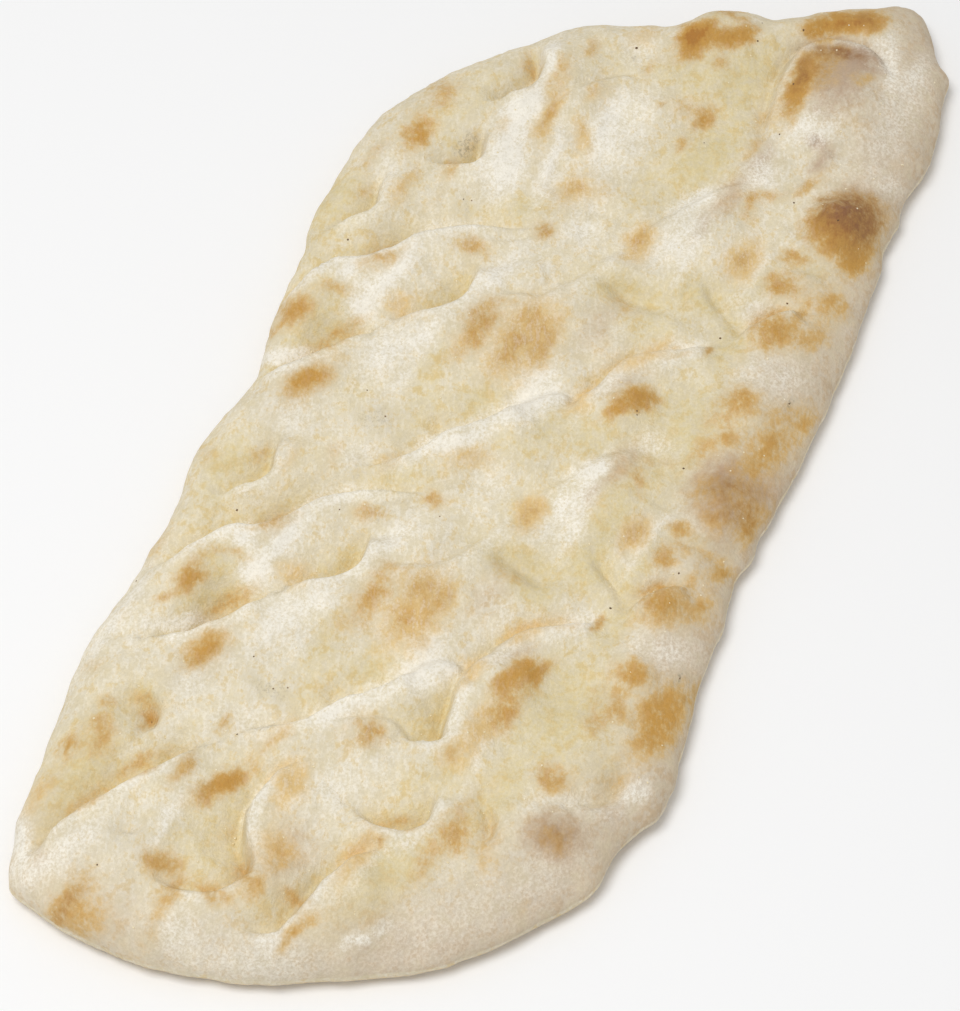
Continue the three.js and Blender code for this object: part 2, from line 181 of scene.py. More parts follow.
SINGLE_FOLDS = [
    (2.8, 6.6, 16, 22, 0.35, [
        (-170, 46), (-160, 42.5), (-150, 38), (-141, 33.5), (-132, 28.5), (-126, 24)]),
    (2.5, 6, 13, 21, 0.5, [
        (-164, 17), (-163.5, 9), (-161.5, 2), (-157, -2.5), (-151, -5), (-146, -2.5), (-142, 1.5),
        (-136, 4), (-130, 4), (-124, 2.5), (-119, -1)]),
    (2.6, 5.4, 13, 14, 0.4, [
        (-167.6, -9), (-166, -14), (-162.5, -18.5), (-157.5, -20), (-151.5, -21), (-144.5, -22),
        (-137.5, -25), (-131.5, -30)]),
    (2.3, 6.6, 9, 20, 0.5, [
        (-125, -17), (-127, -23), (-126.5, -28), (-124, -33), (-120.5, -36), (-115, -36), (-110, -34.5)]),
    (0.9, 4.2, 5, 11, 0.6, [(-128, 38), (-124, 36.5), (-119, 39), (-117.5, 45)]),
    (1.1, 1.9, 7, 8, 0.5, [(-107, -3), (-103, -9), (-100.5, -14), (-101, -18)]),
    (2.3, 6.6, 9, 18, 0.3, [
        (-102, -20), (-100.5, -26), (-97, -29.2), (-90, -27.5), (-84, -26), (-79, -24.5)]),
    (1.1, 2.9, 6, 8, 0.6, [(-119.5, -51.4), (-115.5, -52.8), (-110.4, -51.2), (-107, -46)]),
    (1.4, 4.2, 7, 11, 0.5, [
        (-99.6, -65.2), (-97.6, -69.8), (-93.4, -73.8), (-87.4, -74.8), (-82, -73.3)]),
    (2, 7.4, 8, 12, 0.5, [(69.5, 60), (70, 54), (73.5, 49.5), (79.5, 49.2), (86, 52)]),
    (3, 8, 11, 12, 0.5, [(97, 55), (100.5, 50.5), (105, 47.8), (110, 47), (116, 48.5), (122, 53)]),
    (0.9, 1.2, 8, 6, 0.5, [(100, 37.5), (106, 36), (112.8, 32.3), (118.7, 28.3), (121, 22)]),
    (1.8, 3.4, 12, 12, 0.4, [
        (118, -20), (125, -17.5), (132, -15.5), (140, -14), (148, -13.5), (155, -15.5), (160, -20),
        (161.5, -26), (160, -33), (155, -39)]),
]
print(len(REPEATED_FOLDS), "folds come twice and", len(SINGLE_FOLDS), "come once")


# %% [markdown]
# ## Bubbles, pillows and dents
# Gas lifts the dough in round bubbles and low pillows, and a light touch of a finger leaves a round
# dent. These need only a place, two radii and a height, which is negative for a dent.

# %% Bubbles, pillows and dents
REPEATED_DOMES = [
    ((1, -62), (14, 12), 3.5), ((-18, -32), (22, 14), 2), ((-36, -61), (9, 8), 1),
    ((-58, -62), (8, 8), 1.2), ((-72, -37), (10, 8), 1), ((-46, 2), (13, 9), 1.5),
]
SINGLE_DOMES = [
    ((-150, 28), (26, 15), 1.5), ((-109, -65), (11, 10), 1.5), ((141, -31), (25, 19), 4.5),
    ((101, -50), (13, 11), 2), ((98, 36), (30, 12), 1.8), ((148, 10), (16, 14), 2.5),
    ((-150, -31), (22, 12), 1.5),
]
REPEATED_DENTS = [
    ((-72, -48), (18, 10), -1.6), ((-62, -20), (14, 9), -1), ((-63, 51), (9, 8), -1.5),
    ((-37, 23), (8, 9), -1.8), ((-97, -58), (5, 5), -1.2), ((-46, -44), (7, 9), -1.6),
    ((-89, 41), (9, 6), -1.5), ((-109, -17), (7, 6), -1.4),
]
SINGLE_DENTS = [
    ((122, -6), (26, 12), -1.2), ((-153, 27), (11, 6), -1.6), ((-136, 27), (9, 5), -1.2),
    ((-124, 45), (8, 8), -2), ((-141, -12), (14, 7), -1.4), ((127, 26), (6, 5), -0.8),
]
print(len(REPEATED_DOMES), "rounds come twice and", len(SINGLE_DOMES), "come once, and of the dents",
      len(REPEATED_DENTS), "and", len(SINGLE_DENTS))


# %% [markdown]
# ## Creases
# Where the dough was pulled or shrank in the oven, it has narrow creases and wrinkles. Each is written
# as a height, which is negative for a groove, half a width and a line.

# %% Creases
REPEATED_CREASES = [
    (-1.8, 2.2, [(-101.5, -1), (-99.5, 2.5), (-98, 5)]),
    (0.9, 2.2, [(-24, -13.5), (-16, -12.5), (-8, -12.5), (0, -15)]),
    (-3.9, 4, [(-40.5, -8), (-42.5, -16), (-44, -24), (-43, -31), (-40.5, -40)]),
    (-3.2, 2.4, [(-43, -54), (-39, -48), (-35, -42), (-31, -34)]),
    (-1, 1.4, [(-47, 19), (-42, 12), (-36, 6)]), (-1, 1.5, [(-44, -33), (-39, -35.5), (-33, -35)]),
    (0.9, 1.8, [(-36, -47), (-25, -48.4), (-14, -47), (-8, -43.5)]),
    (0.7, 1.6, [(1, -39), (5, -44), (11, -48)]), (-0.8, 1.2, [(-20, -51), (-18, -62), (-20, -71)]),
]
SINGLE_CREASES = [
    (-1, 1.3, [(-160, 31), (-157.5, 27), (-156, 23)]),
    (0.8, 1.6, [(-160, 30), (-151, 20.5), (-142, 20.5)]),
    (0.8, 1.3, [(-160, -33), (-155, -36), (-149, -39.5)]), (0.8, 1.6, [(70, 29), (82, 31.5), (96, 35)]),
    (0.7, 1.4, [(84, 25), (96, 25), (110, 26)]), (0.7, 1.2, [(114, 17), (117, 13), (121, 11)]),
    (0.8, 1.1, [(91, -45), (95, -41.5), (101, -40.5), (107, -43)]),
    (0.8, 1.1, [(93, -48.5), (97, -45), (102, -45), (106, -48)]),
    (0.7, 1, [(96, -51), (99, -48.5), (103, -50)]), (0.8, 1.2, [(116, -25), (119.5, -29), (121.5, -33)]),
    (0.7, 1.1, [(125, -26), (123, -30), (122, -34)]), (-1, 1.1, [(112, -33), (118, -33), (124, -34)]),
    (0.7, 1.1, [(117, -40), (120, -36.5), (122, -33)]), (0.7, 1.1, [(128, -40), (125, -37), (122, -33)]),
]
print(len(REPEATED_CREASES), "creases come twice and", len(SINGLE_CREASES), "come once")


# %% [markdown]
# ## Put the features in place
# All places so far are readings. Each one belongs to something at a level of its own, such as a crest
# or the bottom of a dent, and is moved to where that level puts it. The far copy of a repeated
# feature is shifted along the loaf and is a little larger.

# %% Places of the features
REPEAT_SHIFT = np.array([97.1, 14.4])
REPEAT_STRETCH = np.array([1.115, 1.062])
THINNED_BY = CURVE_STEPS // 4
CREST_LEVEL, DOME_LEVEL, DENT_LEVEL, GROOVE_LEVEL = 17, 18, 10, 12


def repeat_at(places):
    """The far place of a repeated feature."""
    return REPEAT_SHIFT + REPEAT_STRETCH * np.asarray(places, float)


def soft_line(places):
    """An open line through the places, with smooth bends."""
    ends = np.vstack([2 * places[0] - places[1], places, 2 * places[-1] - places[-2]])
    pieces = [curve_piece(*ends[k:k + 4])[::THINNED_BY] for k in range(len(places) - 1)]
    return np.vstack(pieces + [places[-1:]])


def place_lines(repeated, single):
    """Every line in its true place, and the repeated ones a second time, each with its sizes."""
    lines = [(sizes, line) for *sizes, line in repeated + single]
    lines += [(sizes, repeat_at(line)) for *sizes, line in repeated]
    return [(sizes, soft_line(stand_at(line, CREST_LEVEL if sizes[0] > 0 else GROOVE_LEVEL)))
            for sizes, line in lines]


folds = place_lines(REPEATED_FOLDS, SINGLE_FOLDS)
creases = place_lines(REPEATED_CREASES, SINGLE_CREASES)
mounds = []
for repeated, single, level in ((REPEATED_DOMES, SINGLE_DOMES, DOME_LEVEL),
                                (REPEATED_DENTS, SINGLE_DENTS, DENT_LEVEL)):
    mounds += [(stand_at(place, level), reach, height) for place, reach, height in repeated + single]
    mounds += [(stand_at(repeat_at(place), level), REPEAT_STRETCH * reach, height)
               for place, reach, height in repeated]
print(len(folds), "folds,", len(creases), "creases and", len(mounds), "bubbles and dents")


# %% [markdown]
# ## The height of the top
# The top is a height over every place inside the outline: the usual height of the crumb, a puffed
# rim along the edge, the folds, the bubbles and a slow swell. Near the edge it bends down in a
# quarter ellipse, which makes the rounded shoulder, twice as broad on the near side. The same formula
# gives the solid its form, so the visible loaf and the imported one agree. Here it is drawn with far
# more points, and the narrow creases come on top.

# %% Height of the top
CRUMB_HEIGHT = 14.5
FAR_SHOULDER, NEAR_SHOULDER, FOOT_REACH = 13.0, 26.0, 6.0
SHOULDER_TURN = 55.0
RIM_RISE, RIM_INSET, RIM_SPREAD = 1.2, 15.0, 10.0
CLIFF_WIDTH, RIDGE_WIDTH, TALL_CREST = 3.6, 3.6, 2.5
SOFTENING, USUAL_WEIGHT, NEARNESS_POWER = 1.0, 0.6, 6
FOLD_FADE, CREASE_FADE = 0.18, 0.4
SWELLS = [(0.6, 61, 37, 0.4), (0.45, -29, 43, 2.1), (0.3, 19, 23, 4.4)]


def smooth(share):
    share = np.clip(share, 0, 1)
    return share * share * (3 - 2 * share)


def nearest_on_line(line, x, y):
    """Distance to the line, the side each place lies on, how far along it is, and a softer distance.

    The place along and the soft distance weigh all stretches of the line, so that they have no jump
    inside a bend.
    """
    best, side = np.full(x.shape, np.inf), np.ones(x.shape)
    weights, places = np.full(x.shape, 1e-12), np.zeros(x.shape)
    for k, (start, end) in enumerate(zip(line[:-1], line[1:])):
        length = math.dist(start, end)
        ux, uy = (end - start) / length
        reach = np.clip((x - start[0]) * ux + (y - start[1]) * uy, 0, length)
        dx, dy = x - start[0] - ux * reach, y - start[1] - uy * reach
        distance = np.hypot(dx, dy)
        nearer = distance < best
        best = np.where(nearer, distance, best)
        side = np.where(nearer, np.sign(ux * dy - uy * dx), side)
        weight = length / (distance + SOFTENING) ** NEARNESS_POWER
        weights += weight
        places += weight * (k + reach / length) / (len(line) - 1)
    soft = np.maximum((USUAL_WEIGHT / weights) ** (1 / (NEARNESS_POWER - 1)) - SOFTENING, 0)
    return best, side, places / weights, np.maximum(soft, best)


def fold_relief(sizes, line, x, y):
    """Height that a fold adds, and how much each place belongs to its hollow and to its crest."""
    rise, drop, near, far, deepest = sizes
    distance, side, along, soft = nearest_on_line(line, x, y)
    fade = smooth(np.minimum(along, 1 - along) / FOLD_FADE)
    towards = np.where(along < deepest, along / deepest, (1 - along) / (1 - deepest))
    belly = np.sqrt(np.clip(1 - (1 - towards) ** 2, 0, 1))
    cliff = CLIFF_WIDTH * (0.5 + 0.5 * belly)
    reach = CLIFF_WIDTH + (far - CLIFF_WIDTH) * belly
    fall = smooth(distance / cliff)
    left = 1 - np.clip((soft - cliff) / (reach - cliff), 0, 1)
    hollow = np.where(side < 0, 0, fall * left ** 2 * belly * drop)
    crest = rise * fade * np.where(side < 0, np.exp(-(distance / near) ** 2), 1 - fall)
    on_crest = np.exp(-(distance / np.where(side < 0, RIDGE_WIDTH, CLIFF_WIDTH / 2)) ** 2)
    return crest - hollow, hollow, on_crest * min(rise / TALL_CREST, 1) * fade


def top_relief(x, y, inset):
    """Height of the top, and how deep in a hollow and how far up a crest each place is."""
    height = CRUMB_HEIGHT + RIM_RISE * np.exp(-((inset - RIM_INSET) / RIM_SPREAD) ** 2)
    hollow, crest = np.zeros(x.shape), np.zeros(x.shape)
    for sizes, line in folds:
        added, in_hollow, on_crest = fold_relief(sizes, line, x, y)
        height, hollow, crest = height + added, hollow + in_hollow, np.maximum(crest, on_crest)
    for place, reach, tall in mounds:
        share = np.hypot((x - place[0]) / reach[0], (y - place[1]) / reach[1])
        height = height + tall * (1 - np.minimum(share, 1) ** 2) ** 2
    for (tall, half_width), line in creases:
        distance, _, along, _ = nearest_on_line(line, x, y)
        ends = smooth(np.minimum(along, 1 - along) / CREASE_FADE)
        height = height + tall * ends * np.exp(-(distance / half_width) ** 2)
    for tall, along, across, start in SWELLS:
        height = height + tall * np.sin(x / along + y / across + start) * np.cos(x / across - y / along)
    shoulder = FAR_SHOULDER + (NEAR_SHOULDER - FAR_SHOULDER) * smooth(-y / SHOULDER_TURN)
    outward = 1 - np.minimum(inset / shoulder, 1)
    height = SIDE_LEVEL + (height - SIDE_LEVEL) * np.sqrt(1 - outward ** 2)
    return height, hollow, crest


def foot_height(inset):
    outward = 1 - np.minimum(inset / FOOT_REACH, 1)
    return SIDE_LEVEL * (1 - np.sqrt(1 - outward ** 2))


zero = np.zeros(1)
print("height in the middle, in mm:", top_relief(zero, zero, zero + NEAR_SHOULDER)[0].round(1))


# %% [markdown]
# ## The loaf's mesh
# The mesh is a stack of rings. Each ring is the edge drawn in towards a middle line a little over
# half as long as the loaf, so that every ring keeps about the same distance to the next one all the
# way round. The rings run from the flat underside, round the foot and the shoulder, and over the top.
# They crowd together where the side is steep. A zip of triangles from side to side closes the last
# narrow ring and the underside.

# %% Rings and faces
HALF_WIDTH, MIDDLE_SHARE, MIDDLE_SLOPE = 83.0, 0.54, 0.09
BEND_START, LEFT_BEND, RIGHT_BEND = 55.0, 0.0036, -0.006
RING_STEP = 0.86
SLIT_SHARE = 0.006
SHOULDER_RINGS, FOOT_RINGS = 12, 10

middle_x = edge[:, 0] * MIDDLE_SHARE
past_bend = np.maximum(np.abs(middle_x) - BEND_START, 0)
middle_y = MIDDLE_SLOPE * middle_x + np.where(middle_x < 0, LEFT_BEND, RIGHT_BEND) * past_bend ** 2
middle_line = np.column_stack([middle_x, middle_y])


def ring_at(inset):
    return middle_line + (edge - middle_line) * max(1 - inset / HALF_WIDTH, SLIT_SHARE)


def eased(reach, count):
    """Insets that crowd together where the side is steep."""
    return reach * (1 - np.cos(np.linspace(0, math.pi / 2, count)))


def zip_faces():
    """Triangles across a ring, always stepping on the side that is behind."""
    along = edge[:, 0]
    left, right = int(along.argmin()), int(along.argmax())
    far_steps = (right - left) % AROUND_COUNT
    near_steps = AROUND_COUNT - far_steps
    far, near, made = 0, 0, []
    while far + near < far_steps + near_steps - 1:
        far_at, near_at = (left + far) % AROUND_COUNT, (left - near) % AROUND_COUNT
        far_next, near_next = (left + far + 1) % AROUND_COUNT, (left - near - 1) % AROUND_COUNT
        if near == near_steps - 1 or (far < far_steps - 1 and along[far_next] < along[near_next]):
            made.append((far_at, near_at, far_next))
            far += 1
        else:
            made.append((far_at, near_at, near_next))
            near += 1
    return [face for face in made if len(set(face)) == 3]


foot_insets = eased(FOOT_REACH, FOOT_RINGS)[::-1]
shoulder_insets = eased(FAR_SHOULDER, SHOULDER_RINGS)[1:]
top_insets = np.arange(FAR_SHOULDER + RING_STEP, HALF_WIDTH * (1 - SLIT_SHARE) - RING_STEP / 2, RING_STEP)
insets = np.concatenate([foot_insets, shoulder_insets, top_insets, [HALF_WIDTH]])
rings = np.stack([ring_at(inset) for inset in insets])
ring_x, ring_y = rings[..., 0], rings[..., 1]
inset_grid = np.repeat(insets[:, None], AROUND_COUNT, axis=1)
height, hollow, crest = top_relief(ring_x, ring_y, inset_grid)
is_foot = np.arange(len(insets))[:, None] < FOOT_RINGS
height = np.where(is_foot, foot_height(inset_grid), height)
points = np.stack([ring_x, ring_y, height], axis=-1).reshape(-1, 3)
hollow, crest, inset_of = hollow.ravel(), crest.ravel(), inset_grid.ravel()
foot_of = np.repeat(is_foot, AROUND_COUNT, axis=1).ravel()

faces = []
for ring in range(len(insets) - 1):
    low, high = ring * AROUND_COUNT, (ring + 1) * AROUND_COUNT
    for k in range(AROUND_COUNT):
        after = (k + 1) % AROUND_COUNT
        faces.append((low + k, high + k, high + after, low + after))
last_ring = (len(insets) - 1) * AROUND_COUNT
for first, second, third in zip_faces():
    faces.append((last_ring + first, last_ring + second, last_ring + third))
    faces.append((first, third, second))
print(len(points), "points,", sum(len(face) - 2 for face in faces), "triangles")


# %% [markdown]
# ## The skin's fine relief
# Baked dough is never smooth: gas lifts it in soft lumps, flour dries in it and it wrinkles where it
# shrank. Each point is moved along its normal by layers of noise, from broad and tall to narrow and
# low, and by narrow wrinkles that are stretched along one direction. The underside only gets what a
# flat baking stone leaves, and nothing goes below it.

# %% Fine relief
LUMPS = [(15.0, 0.7), (7.0, 0.46), (3.6, 0.26)]
WRINKLE_TURN = math.radians(27)
WRINKLE_LENGTH, WRINKLE_WIDTH, WRINKLE_DEPTH, WRINKLE_HEIGHT = 15.0, 2.4, 20.0, 0.22
WRINKLED_AREA, WRINKLED_CONTRAST, WRINKLED_SHARE = 30.0, 2, 0.4


def noise_field(places, size, start=0.0):
    """Smooth noise from about -1 to 1 at each place, with bumps of the given size."""
    shift = Vector((start, -start, 0.7 * start))
    return np.array([noise.noise(Vector(place) / size + shift) for place in places])


def grid_normals(mesh):
    normals = np.empty(len(mesh.vertices) * 3)
    mesh.vertex_normals.foreach_get("vector", normals)
    return normals.reshape(-1, 3)


loaf_mesh = bpy.data.meshes.new("loaf")
loaf_mesh.from_pydata(points.tolist(), [], faces)
normals = grid_normals(loaf_mesh)
lift = sum(tall * noise_field(points, size, start=size) for size, tall in LUMPS)
turn = np.array([[math.cos(WRINKLE_TURN), -math.sin(WRINKLE_TURN)],
                 [math.sin(WRINKLE_TURN), math.cos(WRINKLE_TURN)]])
turned = np.column_stack([points[:, :2] @ turn, points[:, 2]])
turned = turned / (WRINKLE_LENGTH, WRINKLE_WIDTH, WRINKLE_DEPTH)
wrinkle = 1 - 2 * np.abs(noise_field(turned, size=1.0, start=5.0))
area = noise_field(points, WRINKLED_AREA, start=9.0)
lift += WRINKLE_HEIGHT * wrinkle * smooth(area * WRINKLED_CONTRAST + WRINKLED_SHARE)
grounded = smooth(points[:, 2] / SIDE_LEVEL)
points = points + normals * (lift * grounded)[:, None]
points[:, 2] = np.maximum(points[:, 2], 0)
print("fine relief from", lift.min().round(2), "to", lift.max().round(2), "mm")


# %% [markdown]
# ## Where the loaf is brown, floury or bare
# The oven browns what stands up or is thin, flour stays white in patches, and bare dough shows
# between them. The spots of this loaf are its character, so they are listed one by one: a place on the
# reading plane, two radii, a strength in per cent and, where a spot lies askew, its turn in degrees.
# The ones on the repeated stretch of dimples come first, and again are written once.

# %% Spots that come twice
REPEATED_SPOTS = {
    "toast": [
        (-71, 28.5, 3.6, 3.6, 75), (-77, -25.6, 4.4, 1.6, 80, -10), (-59.5, -33, 7, 1.8, 80, -35),
        (-67, -5, 10, 6, 115), (-27, -17, 4.6, 2.8, 135, 5), (-21, -43.5, 5, 3, 110),
        (-40, 46.5, 6, 2, 40), (-19, 5, 4, 6, 60, 20), (-24, 8, 7, 4, 25), (-84, 53, 7, 4, 30),
        (-72, -28.4, 8, 1.4, 15, -18), (-78, 10, 4, 2.4, 30, 20), (-14, -11, 14, 2.4, 12, -4),
    ],
    "brown": [
        (-101.5, 38, 5, 3, 90, -20), (-98, 35, 4, 2.6, 40, -20), (-84, 51.5, 4.6, 3, 85),
        (-92.5, 54.5, 2.6, 1.6, 50, -35), (-73, 46, 1.8, 5, 42, 15), (-102, 60.5, 2, 1, 30),
        (-71, 28.5, 3, 3, 20), (-86, 38.4, 7, 2.6, 46, -25), (-66, 19, 5, 1.8, 12, -50),
        (-46, 26, 1.5, 6, 15, 25), (-43, 54.5, 3.4, 2.4, 35), (-49, 66, 4, 5, 25),
        (-80, 63.5, 6, 2.4, 32), (-40, 46.5, 6, 1.8, 22), (-37, 36.5, 7, 1.8, 20),
        (-46.5, 20, 2.4, 4, 52, 15), (-59, 38, 6, 2, 28, -25), (-34.5, 7, 2.4, 3, 62, 20),
        (-19, 5, 3, 6, 32, 20), (-70, 8, 7, 3.4, 55, 5), (-62, 7, 5, 4, 33), (-72, 7.5, 2, 2, 30),
        (-65, 6.5, 2.4, 2, 45), (-58, 5, 1.2, 4, 35, 20), (-78, 10, 4, 2, 20, 20), (-67, -3, 10, 4.6, 50),
        (-60, -4.5, 4, 4, 30), (-72.5, -3.5, 2.4, 2.2, 45), (-65, -9.5, 8, 2.4, 50, 5),
        (-84, 12, 5, 2.4, 20), (-97, 6, 3, 3, 16), (-113, 8, 5, 2, 28, -10), (-117, 22, 3, 1.8, 30),
        (-77, -25.6, 4, 1.2, 20, -10), (-59.5, -33, 7, 1.6, 30, -35), (-90, -33.5, 8, 3, 12),
        (-74, -35.5, 5, 2.4, 80, -20), (-70, -38.5, 3.4, 2.8, 90, -45), (-72, -28.4, 8, 1.2, 15, -18),
        (-54, -41, 4, 1.2, 28, -50), (-60, 41, 5, 1.3, 45, -40), (-50, -47.5, 1.8, 1.2, 70),
        (-103, -45, 7, 3.4, 20), (-76.5, -60, 3, 2.8, 42), (-71, -63, 3, 2.2, 60),
        (-59.5, -61.5, 3.6, 3.8, 75), (-66, -61, 4, 2, 42), (-68, -57, 8, 2.6, 28),
        (-68, -73, 10.5, 5.6, 50), (-58.5, -78, 4.4, 2.4, 50), (-47, -22, 2, 6, 30, -15),
        (-27, -17, 4.4, 2.6, 54, 5), (-21, -43.5, 4, 2.4, 58), (-4, -37.5, 5, 2, 48, 15),
        (3, -41, 4, 1.4, 30, -45), (-3, -31, 5, 3, 25), (8, -46.5, 4, 1.4, 15, -30),
        (12, -49.5, 4, 1.4, 25, -15), (-24, -54, 3.2, 3, 64), (-14.5, -54, 2.4, 2.8, 65),
        (-19, -61, 1.6, 7, 22), (-22, -69, 3, 2.4, 62, 25), (-26, -65, 4, 4, 26), (-37, -60, 5, 5, 85),
        (-35, -69.5, 4, 2.8, 56), (-28, -63, 3, 1.4, 50), (-46, -55, 6, 2, 20),
    ],
    "straw_and_shade": [
        (-84, 46, 12, 7, 70), (-86, 38.5, 6, 3.4, 100, -20), (-65, 57, 13, 7, 50), (-48, 61, 9, 6, 80),
        (-50, 50, 9, 5, 45), (-58, 20.5, 11, 6.4, 25, -10), (-97, 7, 14, 6, 50, 10), (-84, 12, 8, 3, 60),
        (-88, -4, 7, 6, 80), (-88, -23, 10, 5.6, 55, 10), (-96, -17, 5, 5, 50), (-80, -51, 14, 13, 80),
        (-66, -52, 10, 10, 50), (-104, -34, 8, 4, 60), (-105, -47, 12, 5, 80), (-48, -51, 8, 4, 70),
        (-112, -28, 8, 5, 50), (-60, -12, 9, 4, 30), (-42, -21, 5, 12, 80), (-34, 20, 5, 12, 60, 30),
        (-38, 44, 8, 3, 40), (-14, -11, 20, 3.4, 20, -4), (2, -20, 8, 8, 65, -30),
        (-36, -40, 6, 10, 80, -20), (-15, -60, 3.6, 8, 60), (-30, -50, 10, 3, 60), (-5, -45, 8, 2.4, 20),
        (-24, 8, 7, 5, 20), (-88, -68, 7, 5, 50),
    ],
    "flour": [
        (-104, 61.5, 16, 2, 75), (-97, 46, 2, 7, 100, 35), (-76, 37, 7, 3.2, 85, 25),
        (-62, 35.5, 12, 2.6, 100, -5), (-67, 45.5, 3.4, 2.4, 100), (-85, 25, 9, 4.4, 70),
        (-76, 19, 7, 3.4, 70, -20), (-100, 27, 5, 5, 20), (-113, 35, 6, 4.4, 50), (-90, 17, 6, 2.4, 50),
        (-52, 11, 8, 2.6, 80, -10), (-43, 29, 2, 7, 60, 30), (-116, 16, 5, 4.4, 40), (-104, 55, 6, 3, 40),
        (-102, -2, 7, 2.6, 100, -40), (-92, -8.5, 6, 2.6, 65, -35), (-83, -14, 6, 4.4, 100, -25),
        (-75, -12, 5, 4, 90), (-79, -20, 3, 3, 80), (-112, -19, 7, 4, 30), (-62, -25, 8, 2.4, 40),
        (-57, -38, 5, 2.6, 60, -50), (-51.5, -43, 4, 2.4, 80, -60), (-48.5, -39, 2, 4, 25, 10),
        (-97, -38.4, 9, 1, 60), (-104, -56, 4, 2.2, 35), (-99, -63, 2.4, 6, 55, 30),
        (-90, -76, 5, 3.4, 70, -20), (-52, -59, 6, 3, 40), (-50, -68, 7, 7, 50),
        (-22, -24, 10, 4.4, 70, -10), (-8, -24.5, 6, 2.4, 90, -30), (6, -35, 6, 5, 50),
        (-14, -29, 6, 3, 30), (-26, -30, 7, 2, 60), (-22, -48, 13, 1.2, 50, -5), (-30, 33, 8, 5, 12),
        (-45, 2, 7, 6, 25), (-22, -2, 3, 4.4, 40), (-36, -12.5, 5, 1.8, 50),
    ],
    "rose": [
        (-101, 38, 9, 5, 40, -10), (-60, 41, 7, 3, 25), (-3, -31, 6, 3, 75), (-15, -29, 5, 2, 55),
        (7, -34, 7, 5, 30), (-55, -19, 9, 4.4, 45), (-67, -33.5, 6, 3, 50, -30), (-100, -75, 5, 2, 35),
        (-50, -67, 8, 8, 50), (-70, 7, 7, 4, 30),
    ],
    "soot_and_shade": [(-37, 28, 4, 4, 40), (-104, 17, 5, 8, 48, 20), (-55, -72.5, 3, 0.8, 80)],
    "scorch": [],
}
print({kind: len(spots) for kind, spots in REPEATED_SPOTS.items()})
